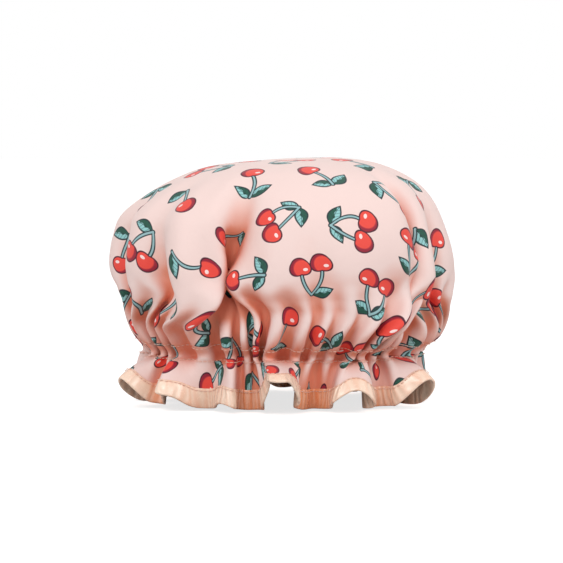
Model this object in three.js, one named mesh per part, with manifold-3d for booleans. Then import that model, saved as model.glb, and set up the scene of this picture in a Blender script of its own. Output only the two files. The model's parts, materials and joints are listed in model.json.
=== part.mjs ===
// A gathered shower cap as it sits on a head. A round of printed cloth and a round of waterproof film are
// bound together at the hem, and a flat elastic runs between two seams above it. The cloth below the
// elastic stands out as a ruffle. Millimetres, +Z up, +X to the right of the side that shows in front,
// -Y towards the viewer, and the hem's lowest scallops stand on Z = 0.
import * as THREE from 'three';
import { mergeVertices } from 'three/addons/utils/BufferGeometryUtils.js';
import Module from 'manifold-3d';

const wasm = await Module();
wasm.setup();

// The elastic as a head holds it open: an oval of about 550 mm round.
const bandLength = 194;
const bandWidth = 156;
const elasticHeight = 6;
const elasticThickness = 1;
const elasticEndGap = 0.3;

// The crown above the elastic.
const crownHeight = 129;
const crownReachLeft = 122;
const crownReachRight = 116;
const crownReachDepth = 109;

// The cloth along a line from the middle of the crown to the hem.
const crownCloth = 220;
const ruffleCloth = 37;
const bindingDepth = 10;
const seamToElastic = 5.5;

// The ruffle's way out from the elastic at the hem, and the waves on it.
const ruffleFlare = 4.5;
const ruffleWaveReach = 10;
const crownGatherReach = 2.6;
const casingRippleReach = 1.5;

// The cloth's layers.
const shellThickness = 1.2;
const liningThickness = 0.8;
const bindingThickness = 0.7;
const bindingFoldThickness = 1.2;
const layerGap = 0.5;
const elasticGap = 0.5;
const bindingGap = 0.5;
const threadThickness = 0.5;
const threadGap = 0.6;
const tackGap = 0.3;
const tackWidth = 6;
const tackHeight = 4;
const tackBends = 5;
const stitchRowShare = 0.06;
const restingCut = 0.5;

// The blank care label, sewn in at the back.
const labelWidth = 16;
const labelDrop = 22;
const labelThickness = 0.5;
const labelGap = 0.6;
const labelLean = 5;

// Points round the cap at the middle of the crown, further out, and from its shoulder down to the hem.
const columns = 60;
const middleColumns = columns / 4;
const outerColumns = columns / 2;

// The elastic's ends lap at the back over this many columns, from this one.
const lapColumns = 2;
const lapStart = columns / 4 - 1;

// The label hangs in the hollow of the gathers nearest the back.
const labelColumn = columns / 4;

// The crown's outline at its left and right, from the elastic to the middle: a share of the crown's reach,
// a share of the elastic's own half width, and a share of the crown's height.
const leftOutlineShares = [
  [0.00, 1.00, 0.000],
  [0.27, 0.73, 0.090],
  [0.54, 0.46, 0.200],
  [0.79, 0.21, 0.320],
  [0.96, 0.02, 0.460],
  [0.95, 0.00, 0.630],
  [0.88, 0.00, 0.745],
  [0.66, 0.00, 0.880],
  [0.42, 0.00, 0.965],
  [0.18, 0.00, 0.990],
  [0.00, 0.00, 1.000],
];
const rightOutlineShares = [
  [0.00, 1.00, 0.000],
  [0.45, 0.55, 0.070],
  [0.78, 0.22, 0.180],
  [0.97, 0.03, 0.310],
  [1.00, 0.00, 0.480],
  [0.96, 0.00, 0.640],
  [0.89, 0.00, 0.790],
  [0.77, 0.00, 0.900],
  [0.57, 0.00, 0.980],
  [0.33, 0.00, 1.010],
  [0.00, 0.00, 1.000],
];

// The crown's deep folds: where each lies round the cap, and its depth as a share of foldDepth. Each lies
// on a column of points.
const foldDepth = 17;
const foldHalfWidth = 5;
const crownFoldShares = [
  { degrees: 12, depthShare: 0.70 },
  { degrees: 36, depthShare: 0.85 },
  { degrees: 66, depthShare: 0.90 },
  { degrees: 96, depthShare: 0.80 },
  { degrees: 120, depthShare: 1.00 },
  { degrees: 150, depthShare: 0.80 },
  { degrees: 174, depthShare: 0.60 },
  { degrees: 192, depthShare: 0.60 },
  { degrees: 216, depthShare: 0.80 },
  { degrees: 234, depthShare: 0.55 },
  { degrees: 252, depthShare: 1.10 },
  { degrees: 282, depthShare: 0.50 },
  { degrees: 300, depthShare: 0.45 },
  { degrees: 324, depthShare: 1.00 },
  { degrees: 348, depthShare: 0.80 },
];

// How deep the folds are along the cloth, from the middle of the crown to the casing: a share of crownCloth
// and a share of each fold's depth.
const foldRunShares = [
  [0.30, 0.00],
  [0.52, 0.50],
  [0.65, 1.00],
  [0.77, 0.95],
  [0.89, 0.50],
  [0.96, 0.22],
  [1.00, 0.00],
];

// Where the gathers begin to show, as a share of crownCloth.
const gatherStartShare = 0.7;

// The ruffle's crests, in degrees round the cap.
const crestDegrees = [24, 48, 78, 102, 126, 162, 192, 216, 246, 270, 294, 312, 330, 354];

// Places where the ruffle turns further out or in at the hem, as shares of ruffleFlip.
const ruffleFlip = 32;
const ruffleMostOutShare = 0.93;
const ruffleFlipShares = [
  { degrees: 267, halfWidth: 10, reachShare: 0.95 },
  { degrees: 95, halfWidth: 18, reachShare: 0.75 },
  { degrees: 186, halfWidth: 12, reachShare: 0.20 },
  { degrees: 352, halfWidth: 20, reachShare: -0.25 },
];

// Rows of points from the middle of the crown to the hem, those above the casing as shares of crownCloth.
const crownRowShares = [0.16, 0.33, 0.52, 0.65, 0.77, 0.89];
const upperSeam = crownCloth - elasticHeight / 2 - seamToElastic;
const casingTop = crownCloth - elasticHeight / 2 - bindingGap;
const casingFoot = crownCloth + elasticHeight / 2 + bindingGap;
const lowerSeam = crownCloth + elasticHeight / 2 + seamToElastic;
const hem = crownCloth + ruffleCloth;
const bindingTop = hem - bindingDepth;
const rows = [
  { along: 0, count: 1 },
  { along: crownCloth * crownRowShares[0], count: middleColumns },
  { along: crownCloth * crownRowShares[1], count: outerColumns },
  { along: crownCloth * crownRowShares[2], count: outerColumns },
  { along: crownCloth * crownRowShares[3], count: columns },
  { along: crownCloth * crownRowShares[4], count: columns },
  { along: crownCloth * crownRowShares[5], count: columns },
  { along: upperSeam, count: columns },
  { along: casingTop, count: columns },
  { along: casingFoot, count: columns },
  { along: lowerSeam, count: columns },
  { along: bindingTop, count: columns },
  { along: hem, count: columns },
];
let rowStart = 0;
for (const row of rows) {
  row.start = rowStart;
  rowStart += row.count;
}
const pointCount = rowStart;
const rowAt = (along) => rows.find((row) => row.along === along);

const smooth = THREE.MathUtils.smoothstep;
const radians = THREE.MathUtils.degToRad;
const angleOf = (row, column) => (2 * Math.PI * column) / row.count;

// The gathers' wave round the cap, from -1 in a hollow to 1 on a crest.
function gatherWave(angle) {
  const degrees = ((THREE.MathUtils.radToDeg(angle) % 360) + 360) % 360;
  const last = crestDegrees.length - 1;
  const crests = [crestDegrees[last] - 360, ...crestDegrees, crestDegrees[0] + 360];
  const after = crests.findIndex((crest) => crest > degrees);
  const share = (degrees - crests[after - 1]) / (crests[after] - crests[after - 1]);
  return Math.cos(2 * Math.PI * share);
}

// A line over the crown from the elastic to the middle, at one angle round the cap.
function crownLine(angle) {
  const right = (1 + Math.cos(angle)) / 2;
  const reachSide = Math.cos(angle) > 0 ? crownReachRight : crownReachLeft;
  return new THREE.CatmullRomCurve3(leftOutlineShares.map((left, i) => {
    const [reach, band, up] = left.map((share, k) => share + (rightOutlineShares[i][k] - share) * right);
    return new THREE.Vector3(
      (reach * reachSide + (band * bandLength) / 2) * Math.cos(angle),
      (reach * crownReachDepth + (band * bandWidth) / 2) * Math.sin(angle),
      up * crownHeight,
    );
  }));
}

// A hump of height 1 round the cap, of a half width in degrees.
function humpAt(angle, { degrees, halfWidth }) {
  const turn = Math.atan2(Math.sin(angle - radians(degrees)), Math.cos(angle - radians(degrees)));
  return Math.exp(-((turn / radians(halfWidth)) ** 2));
}

// A point of the ruffle, which hangs straight down beside the elastic and flares out below it.
function rufflePoint(angle, along) {
  const straight = Math.min(along, casingFoot) - crownCloth;
  const flared = Math.max(along - casingFoot, 0);
  let hemOut = ruffleFlare + ruffleWaveReach * gatherWave(angle);
  for (const flip of ruffleFlipShares) {
    hemOut += ruffleFlip * flip.reachShare * humpAt(angle, flip);
  }
  const out = Math.min(hemOut / (hem - casingFoot), ruffleMostOutShare) * flared;
  const outward = new THREE.Vector3(Math.cos(angle) / bandLength, Math.sin(angle) / bandWidth, 0);
  outward.normalize();
  return new THREE.Vector3((bandLength / 2) * Math.cos(angle), (bandWidth / 2) * Math.sin(angle), 0)
    .addScaledVector(outward, out)
    .add(new THREE.Vector3(0, 0, -straight - Math.sqrt(flared * flared - out * out)));
}

// How far a point of the crown lies out of its smooth form, into a fold or onto a gather.
function crownRelief(angle, along) {
  const after = foldRunShares.findIndex(([share]) => share * crownCloth > along);
  if (after < 1) return 0;
  const [[startShare, startDepth], [endShare, endDepth]] = [foldRunShares[after - 1], foldRunShares[after]];
  const run = (along / crownCloth - startShare) / (endShare - startShare);
  const depth = foldDepth * (startDepth + (endDepth - startDepth) * run);
  let relief = 0;
  for (const fold of crownFoldShares) {
    relief -= depth * fold.depthShare * humpAt(angle, { degrees: fold.degrees, halfWidth: foldHalfWidth });
  }
  const risen = smooth(along, crownCloth * gatherStartShare, upperSeam);
  const gather = risen * (1 - smooth(along, upperSeam, casingTop));
  return relief + crownGatherReach * gather * gatherWave(angle);
}

// Triangles between neighbouring rows, facing outwards. A row has as many points as the last, or twice as
// many.
function weave() {
  const index = [];
  for (let r = 1; r < rows.length; r++) {
    const [above, below] = [rows[r - 1], rows[r]];
    for (let c = 0; c < below.count; c++) {
      const next = (c + 1) % below.count;
      if (above.count === 1) {
        index.push(above.start, below.start + c, below.start + next);
      } else if (above.count === below.count) {
        index.push(above.start + c, below.start + c, below.start + next);
        index.push(above.start + c, below.start + next, above.start + next);
      } else {
        const [up, upNext] = [Math.floor(c / 2), (Math.floor(c / 2) + 1) % above.count];
        if (c % 2 === 0) {
          index.push(above.start + up, below.start + c, below.start + next);
        } else {
          index.push(above.start + up, below.start + c, above.start + upNext);
          index.push(above.start + upNext, below.start + c, below.start + next);
        }
      }
    }
  }
  return index;
}

// The sheet midway between the two layers, as points and the directions that face outwards there.
function midSheet() {
  const index = weave();
  const geometry = new THREE.BufferGeometry().setIndex(index);
  const place = (points) => {
    const numbers = points.flatMap((p) => p.toArray());
    geometry.setAttribute('position', new THREE.Float32BufferAttribute(numbers, 3));
    geometry.computeVertexNormals();
    const normal = geometry.getAttribute('normal');
    return points.map((_, i) => new THREE.Vector3().fromBufferAttribute(normal, i));
  };
  const smoothPoints = [];
  for (const row of rows) {
    for (let c = 0; c < row.count; c++) {
      const angle = angleOf(row, c);
      const point = row.along <= crownCloth
        ? crownLine(angle).getPointAt(1 - row.along / crownCloth)
        : rufflePoint(angle, row.along);
      smoothPoints.push(point);
    }
  }
  const outward = place(smoothPoints);
  const points = [];
  for (const row of rows) {
    for (let c = 0; c < row.count; c++) {
      const relief = row.along <= crownCloth ? crownRelief(angleOf(row, c), row.along) : 0;
      const i = row.start + c;
      points.push(smoothPoints[i].clone().addScaledVector(outward[i], relief));
    }
  }
  return { index, points, outward: place(points) };
}

const sheet = midSheet();

// How far the elastic's two ends are lifted apart where they lap, by steps round the cap from its first
// end.
const lapLift = (elasticThickness + elasticEndGap) / 2;
const firstEndShare = (step) => 1 - THREE.MathUtils.clamp((step - lapColumns) / 2, 0, 1);
const lastEndShare = (step) => THREE.MathUtils.clamp((step - columns + 2) / 2, 0, 1);

// Half the room between the layers: a ripple wider round the elastic, and close together elsewhere.
function halfGapAt(row, column) {
  if (row.along !== casingTop && row.along !== casingFoot) return layerGap / 2;
  const step = (column - lapStart + columns) % columns;
  const ripple = (casingRippleReach * (1 + gatherWave(angleOf(row, column)))) / 2;
  const lapRoom = (lapLift + tackGap + threadThickness) * Math.max(firstEndShare(step), lastEndShare(step));
  return elasticThickness / 2 + elasticGap + lapRoom + ripple;
}

// A point at a distance out from the middle sheet.
function offSheet(row, column, distance) {
  const i = row.start + (column % row.count);
  return sheet.points[i].clone().addScaledVector(sheet.outward[i], distance);
}

function meshOf(name, points, index, material) {
  const geometry = new THREE.BufferGeometry().setIndex(index);
  const numbers = points.flatMap((p) => p.toArray());
  geometry.setAttribute('position', new THREE.Float32BufferAttribute(numbers, 3));
  geometry.computeVertexNormals();
  const mesh = new THREE.Mesh(geometry, material);
  mesh.name = name;
  return mesh;
}

// One layer of the cap as a closed skin, given each face's distance beyond the half gap on its own side.
function layer(name, side, thickness, material) {
  const near = [];
  const far = [];
  for (const row of rows) {
    for (let c = 0; c < row.count; c++) {
      near.push(offSheet(row, c, side * halfGapAt(row, c)));
      far.push(offSheet(row, c, side * (halfGapAt(row, c) + thickness)));
    }
  }
  const [outer, inner] = side > 0 ? [far, near] : [near, far];
  const index = [...sheet.index];
  for (let i = 0; i < sheet.index.length; i += 3) {
    const [a, b, c] = sheet.index.slice(i, i + 3);
    index.push(a + pointCount, c + pointCount, b + pointCount);
  }
  const edge = rowAt(hem);
  for (let c = 0; c < edge.count; c++) {
    const [here, next] = [edge.start + c, edge.start + ((c + 1) % edge.count)];
    index.push(here, here + pointCount, next + pointCount);
    index.push(here, next + pointCount, next);
  }
  return meshOf(name, [...outer, ...inner], index, material);
}

// A solid swept through rings of corner points, closed on itself or capped at its two ends. Each side is
// split from its first corner to its second one further on, or the other way for those in turnedSides.
function sweep(name, sections, closed, material, turnedSides = []) {
  const corners = sections[0].length;
  const index = [];
  const spans = closed ? sections.length : sections.length - 1;
  for (let s = 0; s < spans; s++) {
    const [here, next] = [s * corners, ((s + 1) % sections.length) * corners];
    for (let k = 0; k < corners; k++) {
      const turn = (k + 1) % corners;
      if (turnedSides.includes(k)) {
        index.push(here + k, here + turn, next + k);
        index.push(here + turn, next + turn, next + k);
      } else {
        index.push(here + k, here + turn, next + turn);
        index.push(here + k, next + turn, next + k);
      }
    }
  }
  if (!closed) {
    const last = (sections.length - 1) * corners;
    for (let k = 1; k < corners - 1; k++) {
      index.push(0, k + 1, k);
      index.push(last, last + k, last + k + 1);
    }
  }
  return meshOf(name, sections.flat(), index, material);
}

// The flat elastic, whose ends lap over each other at the back.
function elasticSections() {
  const [top, foot] = [rowAt(casingTop), rowAt(casingFoot)];
  const sections = [];
  for (let step = 0; step <= columns + lapColumns; step++) {
    const column = (lapStart + step) % columns;
    const [above, below] = [offSheet(top, column, 0), offSheet(foot, column, 0)];
    const up = above.clone().sub(below).normalize();
    const out = new THREE.Vector3()
      .addVectors(sheet.outward[top.start + column], sheet.outward[foot.start + column])
      .projectOnPlane(up)
      .normalize();
    const lift = lapLift * (lastEndShare(step) - firstEndShare(step));
    const corner = (across, rise) => above.clone().lerp(below, 0.5)
      .addScaledVector(out, lift + (across * elasticThickness) / 2)
      .addScaledVector(up, (rise * elasticHeight) / 2);
    sections.push([corner(1, -1), corner(-1, -1), corner(-1, 1), corner(1, 1)]);
  }
  return sections;
}

// A zigzag of thread that tacks the elastic's lapped ends together, lying on the outer end.
function elasticTack(material) {
  const sections = elasticSections();
  const [before, after] = [sections[columns], sections[columns + 1]];
  const face = (share, upShare) => {
    const low = before[0].clone().lerp(after[0], share);
    const high = before[3].clone().lerp(after[3], share);
    return low.lerp(high, upShare);
  };
  const run = before[0].distanceTo(after[0]);
  const up = before[3].clone().sub(before[0]).normalize();
  const out = after[0].clone().sub(before[0]).cross(up).normalize();
  const made = [];
  for (let i = 0; i < tackBends; i++) {
    const share = 0.5 + ((i / (tackBends - 1) - 0.5) * tackWidth) / run;
    const upShare = 0.5 + ((i % 2 ? 0.5 : -0.5) * tackHeight) / elasticHeight;
    const centre = face(share, upShare).addScaledVector(out, tackGap + threadThickness / 2);
    const half = threadThickness / 2;
    const corner = (across, rise) => centre.clone()
      .addScaledVector(out, across * half)
      .addScaledVector(up, rise * half * 2);
    made.push([corner(1, -1), corner(-1, -1), corner(-1, 1), corner(1, 1)]);
  }
  return sweep('elastic_tack_thread', made, false, material);
}

// A sewing thread that runs round the cap on a row of points, proud of the cloth by a gap.
function threadRing(name, faceDistance, pointAt, downAt, material) {
  const sections = [];
  for (let c = 0; c < columns; c++) {
    const { point, out } = pointAt(c, faceDistance + threadGap + threadThickness / 2);
    const down = downAt(c);
    const half = threadThickness / 2;
    const corner = (across, fall) => point.clone()
      .addScaledVector(out, across * half)
      .addScaledVector(down, fall * half);
    sections.push([corner(1, 1), corner(-1, 1), corner(-1, -1), corner(1, -1)]);
  }
  return sweep(name, sections, true, material);
}

const shellFace = layerGap / 2 + shellThickness;
function seamThread(name, along, material) {
  const row = rowAt(along);
  const next = rows[rows.indexOf(row) + 1];
  return threadRing(
    name,
    shellFace,
    (c, distance) => ({ point: offSheet(row, c, distance), out: sheet.outward[row.start + c] }),
    (c) => offSheet(next, c, 0).sub(offSheet(row, c, 0)).normalize(),
    material,
  );
}

// The binding's distances from the middle sheet, outside and inside the two layers.
const bindingFaceOut = shellFace + bindingGap;
const bindingOut = bindingFaceOut + bindingThickness;
const bindingFaceIn = layerGap / 2 + liningThickness + bindingGap;
const bindingIn = bindingFaceIn + bindingThickness;
const bindingUpwardSides = [2, 6];
function bindingSections() {
  const [top, edge] = [rowAt(bindingTop), rowAt(hem)];
  const sections = [];
  for (let c = 0; c < columns; c++) {
    const down = offSheet(edge, c, 0).sub(offSheet(top, c, 0)).normalize();
    const below = (distance, drop) => offSheet(edge, c, distance).addScaledVector(down, drop);
    const fold = bindingGap + bindingFoldThickness;
    sections.push([
      offSheet(top, c, bindingOut),
      below(bindingOut, fold),
      below(-bindingIn, fold),
      offSheet(top, c, -bindingIn),
      offSheet(top, c, -bindingFaceIn),
      below(-bindingFaceIn, bindingGap),
      below(bindingFaceOut, bindingGap),
      offSheet(top, c, bindingFaceOut),
    ]);
  }
  return sections;
}

// The thread that holds the binding, near its upper edge.
function bindingThread(material) {
  const sections = bindingSections();
  const [top, edge] = [rowAt(bindingTop), rowAt(hem)];
  return threadRing(
    'binding_thread',
    0,
    (c, distance) => {
      const out = sheet.outward[top.start + c].clone();
      out.lerp(sheet.outward[edge.start + c], stitchRowShare).normalize();
      const point = sections[c][0].clone().lerp(sections[c][1], stitchRowShare);
      return { point: point.addScaledVector(out, distance), out };
    },
    (c) => sections[c][1].clone().sub(sections[c][0]).normalize(),
    material,
  );
}

// The blank care label, which hangs inside the back from the lower seam.
function careLabel(material) {
  const seam = rowAt(lowerSeam);
  const top = offSheet(seam, labelColumn, -(layerGap / 2 + liningThickness + labelGap));
  const inward = sheet.outward[seam.start + labelColumn].clone().setZ(0).normalize().negate();
  const across = inward.clone().cross(new THREE.Vector3(0, 0, 1)).normalize();
  const made = [];
  for (const [drop, lean] of [[0, 0], [labelDrop / 2, labelLean / 2], [labelDrop, labelLean]]) {
    const centre = top.clone().addScaledVector(inward, lean).add(new THREE.Vector3(0, 0, -drop));
    const corner = (side, depth) => centre.clone()
      .addScaledVector(across, (side * labelWidth) / 2)
      .addScaledVector(inward, depth);
    made.push([corner(-1, labelThickness), corner(1, labelThickness), corner(1, 0), corner(-1, 0)]);
  }
  return sweep('care_label', made, false, material);
}

// A closed mesh as a solid for a boolean cut, and back again.
function solidOf(mesh) {
  const bare = mesh.geometry.clone();
  bare.deleteAttribute('normal');
  const merged = mergeVertices(bare);
  return new wasm.Manifold(new wasm.Mesh({
    numProp: 3,
    vertProperties: merged.attributes.position.array,
    triVerts: new Uint32Array(merged.index.array),
  }));
}
function meshFromSolid(name, solid, material) {
  const { vertProperties, triVerts, numProp } = solid.getMesh();
  const points = [];
  for (let i = 0; i < vertProperties.length; i += numProp) {
    points.push(new THREE.Vector3(vertProperties[i], vertProperties[i + 1], vertProperties[i + 2]));
  }
  return meshOf(name, points, [...triVerts], material);
}

// The satin binding, cut flat where its lowest scallops stand.
function hemBinding(material) {
  const whole = sweep('hem_binding', bindingSections(), true, material, bindingUpwardSides);
  const bounds = new THREE.Box3().setFromObject(whole);
  const size = bounds.getSize(new THREE.Vector3());
  const slab = new THREE.BoxGeometry(size.x * 2, size.y * 2, size.z);
  slab.deleteAttribute('uv');
  slab.translate(0, 0, bounds.min.z + restingCut - size.z / 2);
  const cut = solidOf(whole).subtract(solidOf(new THREE.Mesh(slab)));
  return meshFromSolid('hem_binding', cut, material);
}

const cloth = (color, roughness) => new THREE.MeshStandardMaterial({ color, roughness, metalness: 0 });
const printedCloth = cloth(0xf6d3c8, 0.62);
const liningFilm = cloth(0xf2b394, 0.45);
const satin = cloth(0xfbc9a4, 0.38);
const elasticWhite = cloth(0xf3efe9, 0.8);
const peachThread = cloth(0xf7c3a6, 0.6);
const labelCloth = cloth(0xfaf7f2, 0.55);

const cap = new THREE.Group();
cap.add(
  layer('outer_shell', 1, shellThickness, printedCloth),
  layer('waterproof_lining', -1, liningThickness, liningFilm),
  sweep('elastic_band', elasticSections(), false, elasticWhite),
  elasticTack(peachThread),
  hemBinding(satin),
  seamThread('casing_thread_upper', upperSeam, peachThread),
  seamThread('casing_thread_lower', lowerSeam, peachThread),
  bindingThread(peachThread),
  careLabel(labelCloth),
);

// The origin is the middle of the cap's box, at the height that it stands on.
const box = new THREE.Box3().setFromObject(cap);
const middle = box.getCenter(new THREE.Vector3());
cap.position.set(-middle.x, -middle.y, -box.min.z);

export default cap;
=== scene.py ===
"""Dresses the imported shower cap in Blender.

The cap is a round of printed cloth over a round of waterproof film. Both are drawn in by an elastic in a
stitched casing, and bound at the hem with satin. The gathered form is worked out ring by ring from the cut,
and then settled as cloth. Lengths are in metres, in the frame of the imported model.
"""

from __future__ import annotations

import json
import logging
import math
import time
from dataclasses import dataclass, field

import bpy
import numpy as np
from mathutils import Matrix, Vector

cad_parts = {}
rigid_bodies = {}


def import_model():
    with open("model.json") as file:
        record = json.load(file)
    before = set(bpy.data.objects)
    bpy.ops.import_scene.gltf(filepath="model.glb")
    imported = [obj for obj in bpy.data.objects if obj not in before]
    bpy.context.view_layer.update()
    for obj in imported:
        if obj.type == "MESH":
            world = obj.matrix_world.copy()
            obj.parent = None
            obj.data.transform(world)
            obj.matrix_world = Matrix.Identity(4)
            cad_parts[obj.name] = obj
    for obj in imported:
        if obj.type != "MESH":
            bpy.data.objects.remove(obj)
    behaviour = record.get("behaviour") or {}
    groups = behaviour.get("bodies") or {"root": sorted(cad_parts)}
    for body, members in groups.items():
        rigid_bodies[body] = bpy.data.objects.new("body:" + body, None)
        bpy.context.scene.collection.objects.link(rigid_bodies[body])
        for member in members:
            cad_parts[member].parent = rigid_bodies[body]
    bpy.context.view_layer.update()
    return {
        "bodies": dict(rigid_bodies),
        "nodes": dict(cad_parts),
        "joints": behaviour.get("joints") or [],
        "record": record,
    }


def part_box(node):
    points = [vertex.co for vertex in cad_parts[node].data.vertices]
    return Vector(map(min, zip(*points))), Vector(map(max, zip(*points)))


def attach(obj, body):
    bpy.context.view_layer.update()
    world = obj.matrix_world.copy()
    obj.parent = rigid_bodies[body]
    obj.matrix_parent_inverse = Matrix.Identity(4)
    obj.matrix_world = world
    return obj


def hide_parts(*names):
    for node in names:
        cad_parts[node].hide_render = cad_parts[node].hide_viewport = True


LOG = logging.getLogger("shower_cap")
FULL_TURN = 2 * math.pi
MILLIMETRES = 1000.0

# A length too short to have a direction.
NO_LENGTH = 1e-12

# The UV map that holds each point's place on the flat cut, the width of the square that it spans, and the
# share of that square that may be used.
CUT_MAP = "cut"
CUT_SPAN = 0.56
CUT_EDGE = 0.98

# The attribute that says how much painted shade each point gets, from how deep in a fold it lies and, on
# the crown, how far it faces down.
PAINTED_FOLD_SHADE = "painted_fold_shade"


@dataclass(frozen=True)
class Fold:
    """A deep valley in the crown: its place round the cap, half width, strength, lean and drift.

    The drift is how many degrees further round it lies at the waist than high on the crown.
    """

    degrees: float
    width: float
    strength: float
    lean: float = 0.0
    drift: float = 0.0


@dataclass(frozen=True)
class Flip:
    """A place where the ruffle turns further out or in at the hem."""

    degrees: float
    width: float
    reach: float


@dataclass(frozen=True)
class Dent:
    """A broad hollow in the crown: its place round the cap and along the cloth, half sizes and depth."""

    degrees: float
    width: float
    row: float
    length: float
    depth: float


@dataclass(frozen=True)
class Ripple:
    """A slight unevenness round the cap: its size, how many times it comes round, and its phase."""

    size: float
    times: int
    phase: float = 0.0


@dataclass
class CapShape:
    """The worn cap's smooth form and its gathers.

    Angles run anticlockwise seen from above, from +X. Distances along the cloth run from the middle of the
    crown to the hem, and a pair of them says where a change along the cloth begins and ends.
    """

    centre_x: float
    centre_y: float
    band_height: float
    band_half_length: float = 0.0915
    band_half_width: float = 0.0735
    crown_height: float = 0.129
    reach_left: float = 0.126
    reach_right: float = 0.117
    reach_depth: float = 0.109
    crown_cloth: float = 0.220
    ruffle_cloth: float = 0.0365
    casing_half: float = 0.0085
    flare: float = 0.003
    flat_middle: float = 0.004
    upright_zone: float = 0.03

    # The crown's outline at its left and right, from the elastic to the middle: a share of the crown's
    # reach, a share of the elastic's own half length, and a share of the crown's height.
    left_shares: tuple[tuple[float, float, float], ...] = (
        (0.00, 1.00, 0.000),
        (0.27, 0.73, 0.090),
        (0.54, 0.46, 0.200),
        (0.79, 0.21, 0.320),
        (0.96, 0.02, 0.460),
        (0.95, 0.00, 0.630),
        (0.88, 0.00, 0.745),
        (0.66, 0.00, 0.880),
        (0.42, 0.00, 0.965),
        (0.18, 0.00, 0.990),
        (0.00, 0.00, 1.000),
    )
    right_shares: tuple[tuple[float, float, float], ...] = (
        (0.00, 1.00, 0.000),
        (0.45, 0.55, 0.070),
        (0.78, 0.22, 0.180),
        (0.97, 0.03, 0.310),
        (1.00, 0.00, 0.480),
        (0.96, 0.00, 0.640),
        (0.89, 0.00, 0.790),
        (0.77, 0.00, 0.900),
        (0.57, 0.00, 0.980),
        (0.33, 0.00, 1.010),
        (0.00, 0.00, 1.000),
    )
    dents: tuple[Dent, ...] = (
        Dent(252, 8, 0.125, 0.032, 0.009),
        Dent(245, 6, 0.160, 0.035, 0.006),
        Dent(322, 5, 0.160, 0.045, 0.007),
        Dent(198, 9, 0.135, 0.014, 0.005),
    )

    # The crown's deep folds, which drift aside on their way down and fade where the pleats take over.
    folds: tuple[Fold, ...] = (
        Fold(249, 4.8, 1.9, -0.65, -7),
        Fold(326, 5.0, 2.1, -0.6, -2),
        Fold(216, 4.5, 0.8, 0.2, -3),
        Fold(282, 5.5, 0.16),
        Fold(300, 5.0, 0.16),
        Fold(348, 5.0, 0.8, -0.3),
        Fold(12, 5.0, 0.9),
        Fold(36, 5.0, 1.1),
        Fold(66, 5.0, 1.0, 0.3),
        Fold(96, 5.5, 0.9),
        Fold(120, 5.0, 1.1, -0.3),
        Fold(150, 5.0, 0.9),
        Fold(174, 4.5, 0.8),
        Fold(192, 4.5, 0.8),
        Fold(234, 4.5, 0.25),
    )
    fold_ripples: tuple[Ripple, ...] = (Ripple(0.10, 23, 1.1), Ripple(0.07, 37, 0.4))
    drift_rows: tuple[float, float] = (0.100, 0.200)
    fold_share: float = 0.80
    fold_loss: float = 0.62
    fold_loss_rows: tuple[float, float] = (0.175, 0.216)
    least_fold: float = 0.12

    # The gathers' pleats, which begin high on the crown and run on through the casing into the ruffle.
    pleats: int = 44
    pleat_start: float = 0.150
    pleat_rows: tuple[float, float] = (0.158, 0.214)
    pleat_places: tuple[Ripple, ...] = (Ripple(1.3, 5, 0.7), Ripple(0.9, 11, 2.0))
    pleat_sizes: tuple[Ripple, ...] = (Ripple(0.18, 7, 1.9), Ripple(0.12, 17))
    hem_pleat_turn: float = 0.50

    # The ruffle's waves and the places where it turns out or in. The slack is how many times longer the
    # spread hem is taken to be than the smooth ring.
    crest_degrees: tuple[float, ...] = (
        24, 48, 78, 102, 126, 152, 178, 204, 224, 238, 268, 302, 328, 354,
    )
    wave_sizes: tuple[Ripple, ...] = (Ripple(0.12, 3),)
    hem_slack: float = 1.55
    flips: tuple[Flip, ...] = (
        Flip(207, 9, 0.022),
        Flip(224, 8, 0.018),
        Flip(243, 7, -0.004),
        Flip(269, 17, 0.022),
        Flip(300, 8, 0.009),
        Flip(327, 9, 0.014),
        Flip(95, 22, 0.016),
        Flip(180, 8, -0.008),
        Flip(356, 14, -0.010),
    )

    # How each ring is laid: its fine steps to a point, the slow waves taken out of it, and how far the
    # crests between its folds are brought back to the smooth form. The last two are the most of the
    # cloth's length that the smooth ring may take, and the share of the rest that the deep folds take up.
    fine_steps: int = 8
    slow_waves: int = 2
    crest_share: float = 0.85
    crest_percent: int = 90
    crest_rows: tuple[float, float] = (0.170, 0.215)
    most_target: float = 0.9999
    nearly_all: float = 0.999

    @property
    def hem(self) -> float:
        """The cloth's distance from the middle of the crown to the hem."""
        return self.crown_cloth + self.ruffle_cloth

    def crown_grid(self, angles: np.ndarray, rows: np.ndarray) -> np.ndarray:
        """Works out the smooth crown without its folds.

        Args:
            angles: places round the cap, in radians.
            rows: distances along the cloth, none past the elastic.

        Returns:
            Points of shape (rows, angles, 3).
        """
        across, depth = np.cos(angles), np.sin(angles)
        right = ((1 + across) / 2)[None, :, None]
        left_shares, right_shares = np.array(self.left_shares), np.array(self.right_shares)
        shares = left_shares[:, None, :] + (right_shares - left_shares)[:, None, :] * right
        side_reach = np.where(across > 0, self.reach_right, self.reach_left)
        control = np.stack(
            [
                (shares[..., 0] * side_reach + shares[..., 1] * self.band_half_length) * across,
                (shares[..., 0] * self.reach_depth + shares[..., 1] * self.band_half_width) * depth,
                self.band_height + shares[..., 2] * self.crown_height,
            ],
            axis=-1,
        )
        line = smooth_line(control)[::-1]
        steps = np.linalg.norm(np.diff(line, axis=0), axis=-1)
        length = np.concatenate([np.zeros((1, len(angles))), np.cumsum(steps, axis=0)])
        length /= length[-1]
        grid = np.empty((len(rows), len(angles), 3))
        for j in range(len(angles)):
            for k in range(3):
                grid[:, j, k] = np.interp(rows / self.crown_cloth, length[:, j], line[:, j, k])
        return grid

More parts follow.
